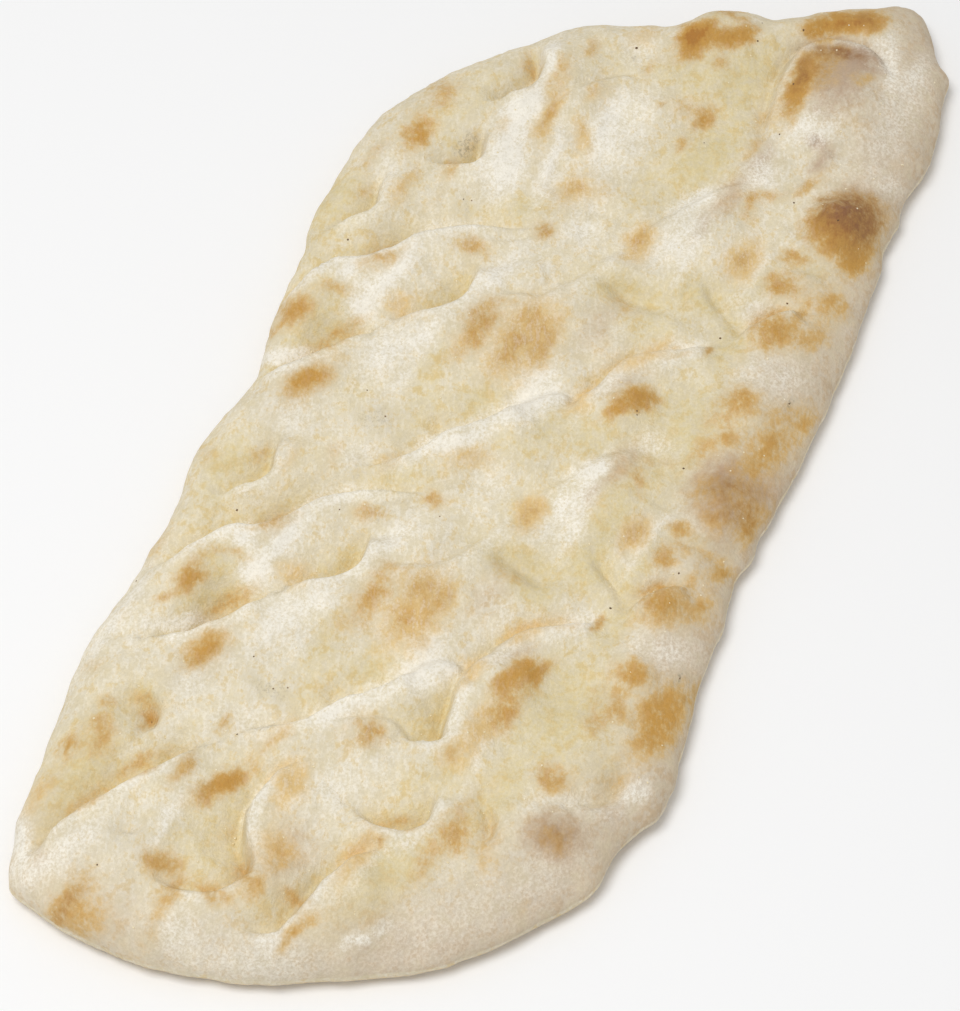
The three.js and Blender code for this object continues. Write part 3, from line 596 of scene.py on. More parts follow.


# %% [markdown]
# ## The other spots
# The ends, the rim and the places between the dimples have spots of their own. So do the places
# where the two stretches differ, such as the scorched blister on the near side. A few of them are
# painted shade in deep pits and dents, and one flour patch is painted light.

# %% Spots that come once
SINGLE_SPOTS = {
    "toast": [
        (-159.5, 16.5, 4, 4, 40), (-138, 46, 6, 4, 30), (-157, 52, 5, 2, 70), (-126, -1, 6, 3.2, 120, 5),
        (-143, -5, 6, 4, 60, 20), (-162, -21, 5, 2, 40, -5), (-157, -23.5, 4, 2, 30, -25),
        (-136, -24.5, 8, 2.4, 80), (-130, -28.6, 1.8, 1.2, 80), (-92, -35, 8, 3, 100),
        (-78, -38, 6, 3, 30, -15), (57, 63, 6, 2, 60), (108, 42, 9, 2.4, 40, 5), (83, 34, 9, 1.6, 15, 5),
        (75, -29, 6, 4, 55), (97, 38.5, 7, 2, 100, 3), (86, 36, 6, 3, 20, 15), (94, 27, 6, 2.4, 90, 35),
        (76, 21, 6, 3, 60, 10), (128, -20, 5, 2.4, 40, 20), (112, -16.5, 5, 1.6, 35),
        (136.5, 28, 5, 3, 60), (124, -16, 6, 2, 50, -15), (-119, 16, 6, 8, 20), (116, 2, 7, 6, 30),
        (-100, -31.5, 4, 2.4, 60), (111, 31.5, 4, 2, 50), (126, 39, 4, 2.4, 40),
    ],
    "brown": [
        (-180, 31, 8, 2.4, 60), (-180, 26, 6, 5, 48), (-182, 24, 4, 8, 25), (-176, 9, 6, 1.8, 33, 10),
        (-159.5, 16.5, 3.4, 3.4, 70), (-134, 14, 6, 2.4, 110, -30), (-144.5, 6, 3, 2.4, 30, 20),
        (-166, 10.5, 6, 1.8, 50), (-145, 38, 6, 1.2, 12, -25), (-138, 34.5, 6, 2, 50, -25),
        (-153, 41, 6, 1.8, 42, -22), (-152, 52, 9, 2.4, 22), (-137, 49, 7, 5, 27),
        (-133, 47.5, 4.4, 2.4, 50, 30), (-138, 45, 3.4, 2, 32), (-142, 53, 2.4, 2, 70),
        (-157, 52, 4, 1.8, 34), (-126, 52, 1.6, 2, 54), (-136, 53, 6, 2, 15),
        (-126.5, 38.5, 2.6, 1.6, 65, -10), (-122, 42, 3.4, 4.6, 42), (-134.5, 24.5, 5, 2.4, 50),
        (-119, 59, 2.6, 2, 33), (-119, 22, 3, 1.5, 35), (-119, 10.5, 7, 1.8, 35, -5),
        (-126, -1, 4.4, 2.4, 28, 5), (-110, -8, 6, 2.2, 20), (-104, -11.5, 3.2, 4, 60, -25),
        (-106, -5, 6, 2.6, 18, -20), (-161, 1, 2.4, 5, 50), (-152, -2, 4, 2.4, 42),
        (-182, 45, 4, 1, 30, 45), (-144, -6, 4.4, 3.4, 36, 30), (-144.5, -10, 4, 3, 40),
        (-153, -17, 2.4, 3.4, 50), (-162, -21, 4, 1.5, 60, -5), (-157, -23.5, 3, 1.4, 50, -25),
        (-154.5, -6.5, 4, 2.8, 60), (-131, -26, 3, 2.6, 25), (-136, -24.5, 7, 2, 33),
        (-126.5, -22, 1.6, 6, 15), (-123, -31, 1.8, 5, 40, 30), (-130, -28.6, 1.4, 0.9, 60),
        (-121, -44, 4, 3, 60, 25), (-117, -42, 9, 3.6, 40), (-130, -40, 6, 2, 48), (-115, -50, 4, 2, 35),
        (-120, -53, 6, 2.6, 36), (-131, -67, 2.6, 1.2, 30), (-110, -65, 4.6, 5, 42),
        (-100, -31.5, 3, 1.8, 50), (-95.5, -57.5, 3.8, 4.2, 62), (-91, -71.5, 4, 2, 42),
        (-85, -38.6, 4, 2.8, 70), (-78, -38, 6, 2.6, 60, -15), (-92, -35.5, 8, 2.6, 20),
        (-68, -42, 5, 1.8, 42, -30), (-69, -73.5, 8, 4, 75), (-19, -61, 1.6, 7, 35),
        (74.5, 68.5, 4.8, 3, 85), (75, 70, 9, 4, 35, 15), (91, 69, 5, 4, 50), (62, 76, 7, 2.2, 35),
        # In the two deep pits, the browns at (77, 53.5), (111, 52.5) and (109, 51) are painted shade.
        (57, 63, 5, 1.8, 30), (77, 53.5, 5, 3, 28), (67, 54.5, 2.8, 2.2, 60), (111, 52.5, 6, 2, 40, 35),
        (109, 51, 7, 2.6, 20), (108, 42, 8, 2, 32, 5), (112, 29, 8, 3, 20), (114, 44, 6, 1.8, 42),
        (97, 38.5, 6, 1.7, 58, 3), (95, 28, 5, 2, 36, 35), (106, 33, 9, 1.6, 10), (111, 31.5, 3, 1.6, 34),
        (76.5, 20.5, 4, 2.4, 38, 10), (115.5, 12.5, 1.6, 1, 50), (104, 1, 3.4, 1.6, 45, 5),
        (116, -0.5, 4.2, 2.2, 80), (117, 6, 4, 4, 35), (126, 39, 3.4, 2, 42), (127, 21, 5, 1.4, 32),
        (88, 48.5, 3, 2, 32), (112, -16.5, 4, 1.4, 42), (136.5, 28, 4, 3, 22),
        (141.5, 14.6, 6, 3.4, 135, -5), (144, 15, 3.6, 2.4, 190, -10), (147, 6, 2.8, 4, 110, 25),
        (150, 2, 3, 2.4, 110), (145, 8, 4, 4, 60), (137, 4.5, 2.8, 2.2, 45), (155.5, 9, 1.8, 5, 60),
        (128, -20, 5, 2.2, 38, 20), (136, -19, 5, 2.2, 100, 10), (143, -18, 6, 2.6, 110),
        (150, -18, 5, 2.2, 38, -10), (156, -22.5, 2.4, 5, 40, 10), (157.3, -29, 1.8, 6, 20),
        (148, -22.5, 9, 4, 50), (124, -16, 5, 2, 28, -15), (162, -15, 3.6, 3, 115, -20),
        (167, -21, 3, 6, 140, 35), (171, -27, 4.8, 3, 95, -50), (150, -34, 2.4, 3, 42),
        (98, -28, 4, 2, 42, -50), (105, -36, 4, 1.8, 46, -30), (73, -30, 6, 4, 10), (71, -47, 4, 5, 40),
        (64, -52, 5, 4, 20), (68, -60, 5, 3.4, 45), (97, -44.6, 4.8, 3, 95, -10),
        (94, -51, 5.6, 5.6, 120), (87, -58.5, 4, 3.4, 85), (92, -58, 7, 4.5, 65),
        (101, -51, 6.6, 6.4, 105), (-7, -61, 3.4, 4.4, 40), (-7.5, -69, 4.4, 2.4, 65),
        (-5, 52.5, 5, 1.6, 15, -30), (30, -10, 4, 2, 30), (0, -54, 4, 3, 42), (1, -62, 8, 7.6, 45),
        (-3, -69, 6, 3, 50, -20), (17, -63.5, 9, 3.4, 40),
    ],
    "straw_and_shade": [
        (-145, 47, 18, 7.4, 85, 3), (-121, 43, 4, 4.4, 90), (-148, 8, 15, 10.6, 65), (-129, 13, 8, 6, 40),
        (-141, -32.5, 17, 6.4, 90, -15), (-157, -12, 5.6, 7, 60), (-136, -20.5, 9, 3, 35),
        (-118, -26, 6, 9, 20), (90, 63, 20, 8, 55, -20), (75, 57, 2.6, 5, 50, -20), (125, 30, 9, 14, 42),
        (85, 5, 18, 4.4, 40), (128, 9, 9, 9, 55), (96, -5, 19, 8, 60, -5), (110, -10, 10, 5, 60),
        (136, -6, 19, 7.4, 80, -3), (135, 6, 11, 10, 55), (153, 12, 4, 6, 50), (65, 30, 5, 5, 40),
        # The straw patch at (-49, -28) is partly painted shade.
        (95, 38, 14, 5, 30), (41, -20, 6, 9, 60), (-49, -28, 4, 7, 80), (-13, 42, 7, 5, 50),
        (-130, 28, 12, 4.4, 40),
    ],
    "flour": [
        (-165, 38, 13, 4, 60, -20), (-160, 26, 6, 5, 30), (-141, 24, 4, 4.4, 35),
        (-150, 20.6, 9, 1.2, 80), (-172, 4, 7, 8, 40), (-114, 15, 4.4, 6, 25), (-122, 25, 7, 1.6, 40),
        (-170, 50, 8, 2, 90, 25), (-134, 4, 10, 1.4, 50), (-128, -4, 4, 2, 60), (-122, -12, 8, 5, 50),
        (-131, -30, 2.6, 3, 40), (-127.5, -35, 4, 1.8, 55, -30), (-155, -36, 6, 1.4, 80, -35),
        (-145, -52, 22, 9, 35, -30), (-120, -68, 14, 7, 35, -15), (-172, -18, 6, 14, 50, 25),
        (88, 46, 14, 3.4, 90), (100, 37, 20, 5, 15), (58, 70, 9, 3.4, 50, 12),
        (-150, -24, 17, 3.6, 35, -8), (99, 48, 7, 3, 110, -5), (75, 41.5, 11, 4, 100, 12),
        (117, 48.4, 7, 1.8, 100, 15), (82, 31, 12, 1.8, 90, 12), (101, 22.5, 11, 3.4, 90, 8),
        (113, 19, 4, 6, 40, 10), (98, 16, 17, 5, 50), (63, 12, 4.4, 5, 60), (104, -23, 6, 3.6, 50),
        (115, -22, 5, 3, 20), (126, -25.5, 6, 4.4, 80), (127, -33, 6, 2.4, 60, -10),
        (120, -40, 7, 3.4, 20), (138, -49, 22, 6, 45), (158, -39, 9, 2.6, 80, 25), (167, -33, 5, 4, 50),
        # The flour patch at (72, -1) also paints light where the fold's shape leaves the crust darker.
        (158, -47, 7, 3, 55), (134, -29, 3, 4, 20), (115, -56, 5, 5, 45), (72, -1, 9, 3, 30),
        (95, 43, 8, 3, 60), (77, 27, 7, 3, 40, 10), (131, 27, 6, 5, 55), (59, -42, 5, 4, 80),
        (-139, 1, 8, 2, 30), (-139, -27.5, 9, 3, 35), (-176, 42, 6, 5, 40), (-176, 2, 5, 9, 35),
        (-31, -29, 7, 4, 30), (-32, -44, 8, 3, 25), (5, -42, 5, 4, 30), (5, -14, 10, 3, 30),
        (-31, 28, 7, 4.4, 30), (32, 42, 12, 5, 25), (-32, -55, 7, 3, 30),
    ],
    "rose": [
        (-110, -65, 5.6, 5.6, 120), (-143, -9, 8, 6, 60), (148, -27, 12, 9, 100),
        (154, -25, 5, 8, 100, 15), (152, -44, 20, 10, 36), (136, -42, 14, 8, 28),
        (158.3, -27, 1.6, 6, 90), (155, -35.5, 2, 4, 45, -35), (122.5, -32, 2.4, 2.4, 120),
        (116, -36, 6, 3, 75), (177, -34, 2, 4, 30), (156, -53, 4, 2, 20), (109, -21, 6, 3, 65),
        (-172, 43.5, 4, 1.6, 45, 25), (-180, 23, 7, 8, 40), (-152, -46, 12, 7, 35, -50),
        (2.4, -61.5, 9.4, 8.8, 150), (110, -49, 4, 6, 60), (-125, -70, 12, 5, 30, -20),
        (-148, -56, 3, 1.2, 30, -30), (125, -50, 14, 9, 45), (134, -29, 4, 4, 40),
    ],
    # Soot: grey specks, and painted shade in the dent at (-157, 27) and the two deep pits at (76.5, 54.5)
    # and (109, 52.5).
    "soot_and_shade": [
        (-157, 27, 6, 6, 42), (152, -13.5, 2, 0.8, 60), (127, 26.3, 0.9, 0.7, 90), (76.5, 54.5, 5, 4, 65),
        (109, 52.5, 8, 3.6, 45),
    ],
    "scorch": [
        (101, -51, 8, 8, 60), (102, -47.5, 6, 4.4, 60, -20), (100, -56, 7, 3.4, 50, 10),
        (93, -55, 6, 5, 25), (144, -17.4, 7, 1.8, 50), (152.5, -19, 4, 1.8, 25, -20),
        (156.5, -25.5, 2.6, 8, 70, 10), (148, -22.5, 8, 3.6, 40), (109, -52, 4, 6, 25),
        (170, -25.5, 3, 4.4, 40, 35), (-180, 30, 7, 2.4, 42), (-110, -65, 5, 5.6, 50),
        (-4, -60, 5.4, 5, 44), (4.5, -57.5, 5.4, 5, 50), (-3.5, -67, 5.4, 4.4, 42),
        (5.5, -66, 5.4, 5, 42),
    ],
}
print({kind: len(spots) for kind, spots in SINGLE_SPOTS.items()})


# %% [markdown]
# ## How much of each kind covers a point
# A spot fades out softly from its middle, and where two of a kind meet they merge like drops. Noise
# sways the places a little, which frays the edges as flour and bubbles do. Each kind's cover is
# stored on the mesh as an attribute, which the material reads.

# %% Cover by spots
FRAY = [(7.0, 1.6), (2.6, 1.1)]
FRAY_START_X, FRAY_START_Y = 20.0, 40.0
MERGING, SPOT_FALL, PER_CENT = 2.0, 0.55, 100


def spot_cover(spots, x, y):
    """How strongly the spots cover each place: soft at their edges, and merged where they meet."""
    cover = np.zeros(x.shape)
    for at_x, at_y, along, across, percent, *turn in spots:
        angle = math.radians(turn[0] if turn else 0)
        c, s = math.cos(angle), math.sin(angle)
        dx, dy = x - at_x, y - at_y
        share = ((dx * c + dy * s) / along) ** 2 + ((dy * c - dx * s) / across) ** 2
        cover += (percent / PER_CENT * np.exp(-SPOT_FALL * share)) ** MERGING
    return cover ** (1 / MERGING)


def repeat_spot(spot):
    return (*repeat_at(spot[:2]), *(REPEAT_STRETCH * spot[2:4]), *spot[4:])


seen_x, seen_y = seen_at(points).T
for size, sway in FRAY:
    seen_x = seen_x + sway * noise_field(points, size, FRAY_START_X)
    seen_y = seen_y + sway * noise_field(points, size, FRAY_START_Y)
covers = {}
for kind, spots in REPEATED_SPOTS.items():
    both = spots + [repeat_spot(spot) for spot in spots]
    covers[kind] = spot_cover(both + SINGLE_SPOTS[kind], seen_x, seen_y)
print({kind: round(float(cover.max()), 2) for kind, cover in covers.items()}, "at most")


# %% [markdown]
# ## Colours that follow the form
# Some colours need no spots. Hollows show bare, straw-coloured dough, and the straw also paints
# shade there, strongest at the foot of their steep walls; crests keep their flour. Both are taken from
# the relief. The near rim and the blunt end turn a darker rosy grey towards the edge, partly the
# crust's own tone and partly painted shade of the sloping sides, and the underside has the even tan
# of the baking stone.

# %% Cover by form
HOLLOW_DEPTH, HOLLOW_STRAW_AND_SHADE, CREST_FLOUR = 5.0, 0.75, 0.68
NEAR_RIM_START, NEAR_RIM_REACH, RIM_TINT_AND_SHADE_REACH = 30.0, 75.0, 34.0
LEFT_RIM_START, LEFT_RIM_REACH, LEFT_RIM_TINT_AND_SHADE = 130.0, 45.0, 0.7

# Straw in the hollows: bare dough, and painted shade, strongest at the foot of the steep walls.
covers["straw_and_shade"] = np.maximum(covers["straw_and_shade"], HOLLOW_STRAW_AND_SHADE * smooth(hollow / HOLLOW_DEPTH))
covers["flour"] = np.maximum(covers["flour"], CREST_FLOUR * crest)
# A darker rosy grey towards the near rim and the blunt end: partly the crust's own tone, partly painted
# shade of the sloping sides.
near_side = smooth((NEAR_RIM_START - points[:, 1]) / NEAR_RIM_REACH)
left_end = LEFT_RIM_TINT_AND_SHADE * smooth((-LEFT_RIM_START - points[:, 0]) / LEFT_RIM_REACH)
covers["rim"] = np.maximum(near_side, left_end) * smooth(1 - inset_of / RIM_TINT_AND_SHADE_REACH)
covers["under"] = smooth(1 - points[:, 2] / FOOT_REACH) * foot_of
for kind in [*REPEATED_SPOTS, "rim"]:
    covers[kind] = covers[kind] * ~foot_of
print({kind: round(float(cover.mean()), 3) for kind, cover in covers.items()})


# %% [markdown]
# ## Make the loaf
# The points so far are in millimetres about the reading plane's own zero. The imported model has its
# origin under the middle of its box, so the loaf is shifted by the middle of the outline and scaled
# to metres. It replaces the plain solid and rides with it.

# %% The loaf
for corner, point in zip(loaf_mesh.vertices, points):
    corner.co = ((point[0] - box_middle[0]) * MM, (point[1] - box_middle[1]) * MM, point[2] * MM)
for kind, cover in covers.items():
    attribute = loaf_mesh.attributes.new(kind, "FLOAT", "POINT")
    attribute.data.foreach_set("value", np.ascontiguousarray(cover, dtype=np.float32))
loaf_mesh.shade_smooth()
loaf_mesh.update()
loaf = bpy.data.objects.new("loaf", loaf_mesh)
bpy.context.collection.objects.link(loaf)
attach(loaf, "root")
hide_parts("pizza_base")
print("loaf, in mm:", [round(side / MM, 1) for side in loaf.dimensions])


# %% [markdown]
# ## Helpers for nodes
# A material is a tree of nodes, and each node takes the same few lines: make it, set it up and link
# what feeds it. Short helpers take those lines over, so that each layer of the crust is one line that
# can be read. Colours are written as they look on a screen and are turned into what nodes expect.

# %% Helpers for nodes
def colour(red, green, blue):
    """A screen colour from 0 to 255 as the linear colour that nodes take."""
    def linear(value):
        value /= 255
        return value / 12.92 if value <= 0.04045 else ((value + 0.055) / 1.055) ** 2.4
    return (linear(red), linear(green), linear(blue), 1.0)


def add_node(tree, kind, inputs=None, **settings):
    node = tree.nodes.new(kind)
    for name, value in settings.items():
        setattr(node, name, value)
    for name, value in (inputs or {}).items():
        if isinstance(value, bpy.types.NodeSocket):
            tree.links.new(value, node.inputs[name])
        else:
            node.inputs[name].default_value = value
    return node


def calculate(tree, operation, first, second=0.0, third=0.0, clamp=False):
    settings = {"operation": operation, "use_clamp": clamp}
    return add_node(tree, "ShaderNodeMath", {0: first, 1: second, 2: third}, **settings).outputs[0]


def mix_colours(tree, share, under, over, blend_type="MIX"):
    """Sockets 6 and 7 are the two colours of a Mix node, and output 2 is the mixed colour."""
    settings = {"data_type": "RGBA", "blend_type": blend_type}
    return add_node(tree, "ShaderNodeMix", {0: share, 6: under, 7: over}, **settings).outputs[2]


def ramp_between(tree, value, low, high, to_low=0.0, to_high=1.0):
    limits = {"Value": value, "From Min": low, "From Max": high, "To Min": to_low, "To Max": to_high}
    return add_node(tree, "ShaderNodeMapRange", limits, interpolation_type="SMOOTHSTEP").outputs[0]


def grain(tree, place, size_mm, detail=3.0, rough=0.55):
    """Noise with grains of about this size, stretched to run from 0 to 1."""
    inputs = {"Vector": place, "Scale": 1 / (size_mm * MM), "Detail": detail, "Roughness": rough}
    return ramp_between(tree, add_node(tree, "ShaderNodeTexNoise", inputs).outputs[0], 0.3, 0.7)


def cover_of(tree, kind):
    return add_node(tree, "ShaderNodeAttribute", attribute_name=kind).outputs["Fac"]
print("helpers ready: a white screen is", colour(255, 255, 255))


# %% [markdown]
# ## The crust's finish
# Dry crust is matt. Its colour is a stack of layers, from the bottom up: floury ivory, bare straw and
# gold dough, with the straw also painting shade in the hollows, a rosy grey on the near rim and the
# blunt end that is partly painted shade, a greyish rose where the dough blistered under its flour,
# flour on the crests, light toast, browns from tan to deep brown, a few of them painted shade in pits,
# and dark scorches. A dusting of flour and a little soot, which also paints shade in a few dents and
# pits, end it.
# The loaf is pale, so most of these colours are close to each other.

# %% Colours of the crust
FLOUR = colour(243, 237, 223)
CRUMB = colour(223, 210, 178)
STRAW_AND_SHADE = colour(220, 204, 158)
GOLD = colour(216, 192, 138)
TOAST = colour(228, 196, 137)
TAN = colour(213, 182, 126)
BROWN = colour(196, 150, 77)
DEEP_BROWN = colour(174, 121, 56)
ROSE = colour(192, 168, 143)
SCORCH = colour(137, 94, 66)
SOOT_AND_SHADE = colour(150, 138, 112)
UNDER = colour(216, 186, 136)
for name, shade in (("flour", FLOUR), ("brown", BROWN), ("scorch", SCORCH)):
    print(name, "as nodes take it:", [round(value, 2) for value in shade[:3]])


# %% [markdown]
# ## The crust's noises
# Flour, pores and bubbles are all uneven, but at different sizes, so the crust needs noise of several
# grains. One of them is stretched to streaks, as a brush or a sweep of the hand leaves flour. Two
# mixtures of them fray the layers: one mainly for brown places and one mainly for flour.

# %% Noises
# Each noise: the size of its grains in mm, how many finer layers it has and how strong they are
NOISES = {"broad": (14, 3, 0.55), "patchy": (5, 4, 0.6), "ragged": (2.4, 5, 0.7), "fine": (0.8, 3, 0.7)}
STREAKS = (1.1, 3, 0.55)
SWEEP_TURN, SWEEP_LENGTH = math.radians(27), 3.0


def crust_noises(tree):
    """Four noises from broad to fine, the streaks and the two mixtures."""
    place = add_node(tree, "ShaderNodeTexCoord").outputs["Object"]
    sweep = {"Vector": place, "Rotation": (0, 0, SWEEP_TURN), "Scale": (SWEEP_LENGTH, 1, 1)}
    swept = add_node(tree, "ShaderNodeMapping", sweep, vector_type="TEXTURE").outputs[0]
    broad, patchy, ragged, fine = (grain(tree, place, *sizes) for sizes in NOISES.values())
    streaks = grain(tree, swept, *STREAKS)
    uneven = calculate(tree, "MULTIPLY_ADD", ragged, 0.45, calculate(tree, "MULTIPLY", streaks, 0.3))
    uneven = calculate(tree, "MULTIPLY_ADD", patchy, 0.25, uneven)
    speckled = calculate(tree, "MULTIPLY_ADD", fine, 0.5, calculate(tree, "MULTIPLY", uneven, 0.5))
    return broad, patchy, ragged, fine, streaks, uneven, speckled


def broken(tree, cover, noise_value, low, high, unevenness):
    """A share from 0 at a low cover to 1 at a high one, with islands and gaps by the noise."""
    swing = calculate(tree, "MULTIPLY_ADD", noise_value, 2 * unevenness, 1 - unevenness)
    return ramp_between(tree, calculate(tree, "MULTIPLY", cover, swing), low, high)


print("noises with grains from", NOISES["broad"][0], "to", NOISES["fine"][0], "mm")


# %% [markdown]
# ## The crust's layers
# Each line lays one more layer over the skin so far. It names the cover that says where, the noise
# that frays it, the cover at which the layer starts, the one at which it is full, how uneven it is
# and its colour.

# %% Layers
def crust_colour(tree, broad, patchy, ragged, fine, streaks, uneven, speckled):
    """The skin's colour, from the floury ivory at the bottom to the soot, which also paints shade, and
    the slow change of tone.
    """
    def layered(skin, cover, noise_value, low, high, unevenness, over):
        """One more layer over the skin, starting at a low cover and full at a high one."""
        return mix_colours(tree, broken(tree, cover, noise_value, low, high, unevenness), skin, over)

    brown, straw_and_shade, rim, rose = (cover_of(tree, kind) for kind in ("brown", "straw_and_shade", "rim", "rose"))
    skin = mix_colours(tree, calculate(tree, "MULTIPLY", patchy, 0.5), CRUMB, FLOUR)
    mottled = calculate(tree, "MULTIPLY_ADD", patchy, 0.45, calculate(tree, "MULTIPLY", ragged, 0.55))
    # Straw: bare dough, and painted shade in the hollows.
    skin = layered(skin, straw_and_shade, mottled, 0.05, 1.0, 0.75, STRAW_AND_SHADE)
    skin = mix_colours(tree, ramp_between(tree, mottled, 0.5, 0.8, 0, 0.65), skin, GOLD)
    # Rosy grey at the near rim and the blunt end: partly the crust's tone, partly painted shade.
    skin = layered(skin, rim, mottled, 0.0, 2.0, 0.35, ROSE)
    skin = layered(skin, rose, ragged, 0.0, 1.1, 0.3, ROSE)
    clear = calculate(tree, "SUBTRACT", 1.0, calculate(tree, "MULTIPLY", brown, 0.9), clamp=True)
    flour = calculate(tree, "MULTIPLY", cover_of(tree, "flour"), clear)
    skin = layered(skin, flour, speckled, 0.05, 1.0, 0.8, FLOUR)
    skin = layered(skin, cover_of(tree, "toast"), uneven, 0.0, 1.1, 0.5, TOAST)
    skin = layered(skin, brown, uneven, 0.05, 0.6, 0.6, TAN)
    skin = layered(skin, brown, uneven, 0.25, 0.9, 0.7, BROWN)
    skin = layered(skin, brown, uneven, 0.9, 1.9, 0.5, DEEP_BROWN)
    skin = layered(skin, cover_of(tree, "scorch"), ragged, 0.05, 1.1, 0.25, SCORCH)
    bare = calculate(tree, "MULTIPLY", calculate(tree, "MULTIPLY_ADD", straw_and_shade, -0.5, 0.5), clear)
    for rosy in (rim, rose):
        bare = calculate(tree, "MULTIPLY", bare, calculate(tree, "SUBTRACT", 1.0, rosy, clamp=True))
    dusting = calculate(tree, "MULTIPLY", broken(tree, streaks, speckled, 0.3, 1.2, 0.8), bare)
    skin = mix_colours(tree, dusting, skin, FLOUR)
    # Soot: grey specks, and painted shade in a few dents and pits.
    skin = layered(skin, cover_of(tree, "soot_and_shade"), fine, 0.2, 1.6, 0.9, SOOT_AND_SHADE)
    skin = mix_colours(tree, calculate(tree, "MULTIPLY", cover_of(tree, "under"), 0.75), skin, UNDER)
    tone = ramp_between(tree, broad, 0.0, 1.0, 0.96, 1.03)
    for noise_value, dark, light in ((fine, 0.96, 1.035), (ragged, 0.97, 1.02)):
        swing = ramp_between(tree, noise_value, 0.0, 1.0, dark, light)
        tone = calculate(tree, "MULTIPLY", tone, swing)
    shade = add_node(tree, "ShaderNodeCombineColor", {0: tone, 1: tone, 2: tone}).outputs[0]
    return mix_colours(tree, 1.0, skin, shade, "MULTIPLY")


# %% [markdown]
# ## The crust's shader
# The colour goes to a matt shader, a little less rough in patches. The same noises feed a bump for
# wrinkles and pores that are finer than the mesh, which keeps the light lively.

# %% The crust's material
PORE_DEPTH, PORE_STRENGTH = 0.35, 0.6
GLOSS, SMOOTHEST, ROUGHEST = 0.3, 0.72, 0.9


def crust_material():
    material = bpy.data.materials.new("crust")
    material.use_nodes = True
    tree = material.node_tree
    shader = tree.nodes["Principled BSDF"]
    noises = crust_noises(tree)
    _, _, ragged, fine, _, uneven, _ = noises
    tree.links.new(crust_colour(tree, *noises), shader.inputs["Base Color"])
    roughness = ramp_between(tree, ragged, 0.0, 1.0, SMOOTHEST, ROUGHEST)
    tree.links.new(roughness, shader.inputs["Roughness"])
    shader.inputs["Specular IOR Level"].default_value = GLOSS
    relief = calculate(tree, "MULTIPLY_ADD", uneven, 0.7, calculate(tree, "MULTIPLY", fine, 0.3))
    pores = {"Height": relief, "Strength": PORE_STRENGTH, "Distance": PORE_DEPTH * MM}
    tree.links.new(add_node(tree, "ShaderNodeBump", pores).outputs[0], shader.inputs["Normal"])
    return material


loaf_mesh.materials.append(crust_material())
print("crust material with", len(loaf_mesh.materials[0].node_tree.nodes), "nodes")


# %% [markdown]
# ## Flecks and grains
# A few dark flecks of burnt flour lie in the hollows, and coarse grains of semolina stick to the
# rim. Both are real bits on the surface, so they are small meshes. The flecks can be seen one by one
# and are listed, each with a size, and the grains are strewn at random.

# %% Flecks
FLECKS = [
    (-161, -2.2, 1.3), (-122, 16, 0.8), (-126.5, 38, 0.9), (-92, 62.5, 0.9), (-106.5, 14.5, 0.8),
    (-104.5, 11.5, 0.7), (-101, 23, 0.7), (-62, 50, 0.9), (-42, 1.5, 0.7), (-46, -49, 1),
    (10, -29.5, 0.8), (9, -30, 0.6), (0.5, -47.5, 0.9), (-29, -60, 0.9), (29, 66.5, 0.9), (-20, 29, 0.8),
    (-15, 37, 0.7), (91.5, -51, 0.9), (133.5, -19.3, 1.1), (144.5, -3.5, 0.9), (127, 26.3, 1.2),
    (95.5, -36.5, 0.9), (44, -38, 1), (63, -49, 0.9), (155, -13, 1), (116, -23, 0.8), (-170, 27, 0.7),
    (33, -63, 0.8), (104, -5.5, 0.6), (152, -1.5, 0.8), (-109, 2, 0.7), (57, 43, 0.7), (56, 45, 0.6),
    (-52.5, 25, 0.6), (-56, -73, 0.8),
]
print(len(FLECKS), "flecks, the largest", max(size for _, _, size in FLECKS), "times the usual size")


# %% [markdown]
# ## The shape of a bit
# A bit is an uneven lump with a few faces: bands of points around an upright line, each point pushed
# in or out at random, and closed at the bottom and the top. That is enough at half a millimetre.

# %% The shape of a bit
BIT_SIDES, BIT_BANDS, BIT_UNEVENNESS = 6, 3, (0.7, 1.25)

random = np.random.default_rng(7)


def bit_shape(size, flatness):
    """Points of a lump around its own middle, and its faces."""
    shape = [(0, 0, -flatness * size)]
    for band in range(1, BIT_BANDS + 1):
        tilt = math.pi * band / (BIT_BANDS + 1)
        for side in range(BIT_SIDES):
            turned_by = 2 * math.pi * side / BIT_SIDES
            wide = size * math.sin(tilt) * random.uniform(*BIT_UNEVENNESS)
            shape.append((wide * math.cos(turned_by), wide * math.sin(turned_by),
                          -flatness * size * math.cos(tilt)))
    shape.append((0, 0, flatness * size))
    last = len(shape) - 1
    made = []
    for side in range(BIT_SIDES):
        after = (side + 1) % BIT_SIDES
        made.append((0, 1 + after, 1 + side))
        made.append((last, last - BIT_SIDES + side, last - BIT_SIDES + after))
        for band in range(BIT_BANDS - 1):
            low, high = 1 + band * BIT_SIDES, 1 + (band + 1) * BIT_SIDES
            made.append((low + side, low + after, high + after, high + side))
    return shape, made


print("each bit has", 2 + BIT_SIDES * BIT_BANDS, "points")


# %% [markdown]
# ## Lay the bits on the crust
# A ray is shot straight down at each place to find the crust. The bit is laid there, tilted with the
# crust and spun at random, and all bits of one kind are joined into one piece.

# %% Flecks and grains
FLECK_SIZE, FLECK_FLATNESS, GRAIN_FLATNESS = 0.33, 0.35, 0.5
GRAIN_COUNT, GRAIN_SIZE, GRAIN_INSET = 260, (0.15, 0.34), (4, 60)
BURNT_FLOUR = colour(88, 62, 40), colour(138, 108, 76)
SEMOLINA = colour(232, 214, 170), colour(245, 236, 212)
RAY_HEIGHT = 0.1

surface = BVHTree.FromPolygons([corner.co for corner in loaf_mesh.vertices],
                               [tuple(face.vertices) for face in loaf_mesh.polygons])


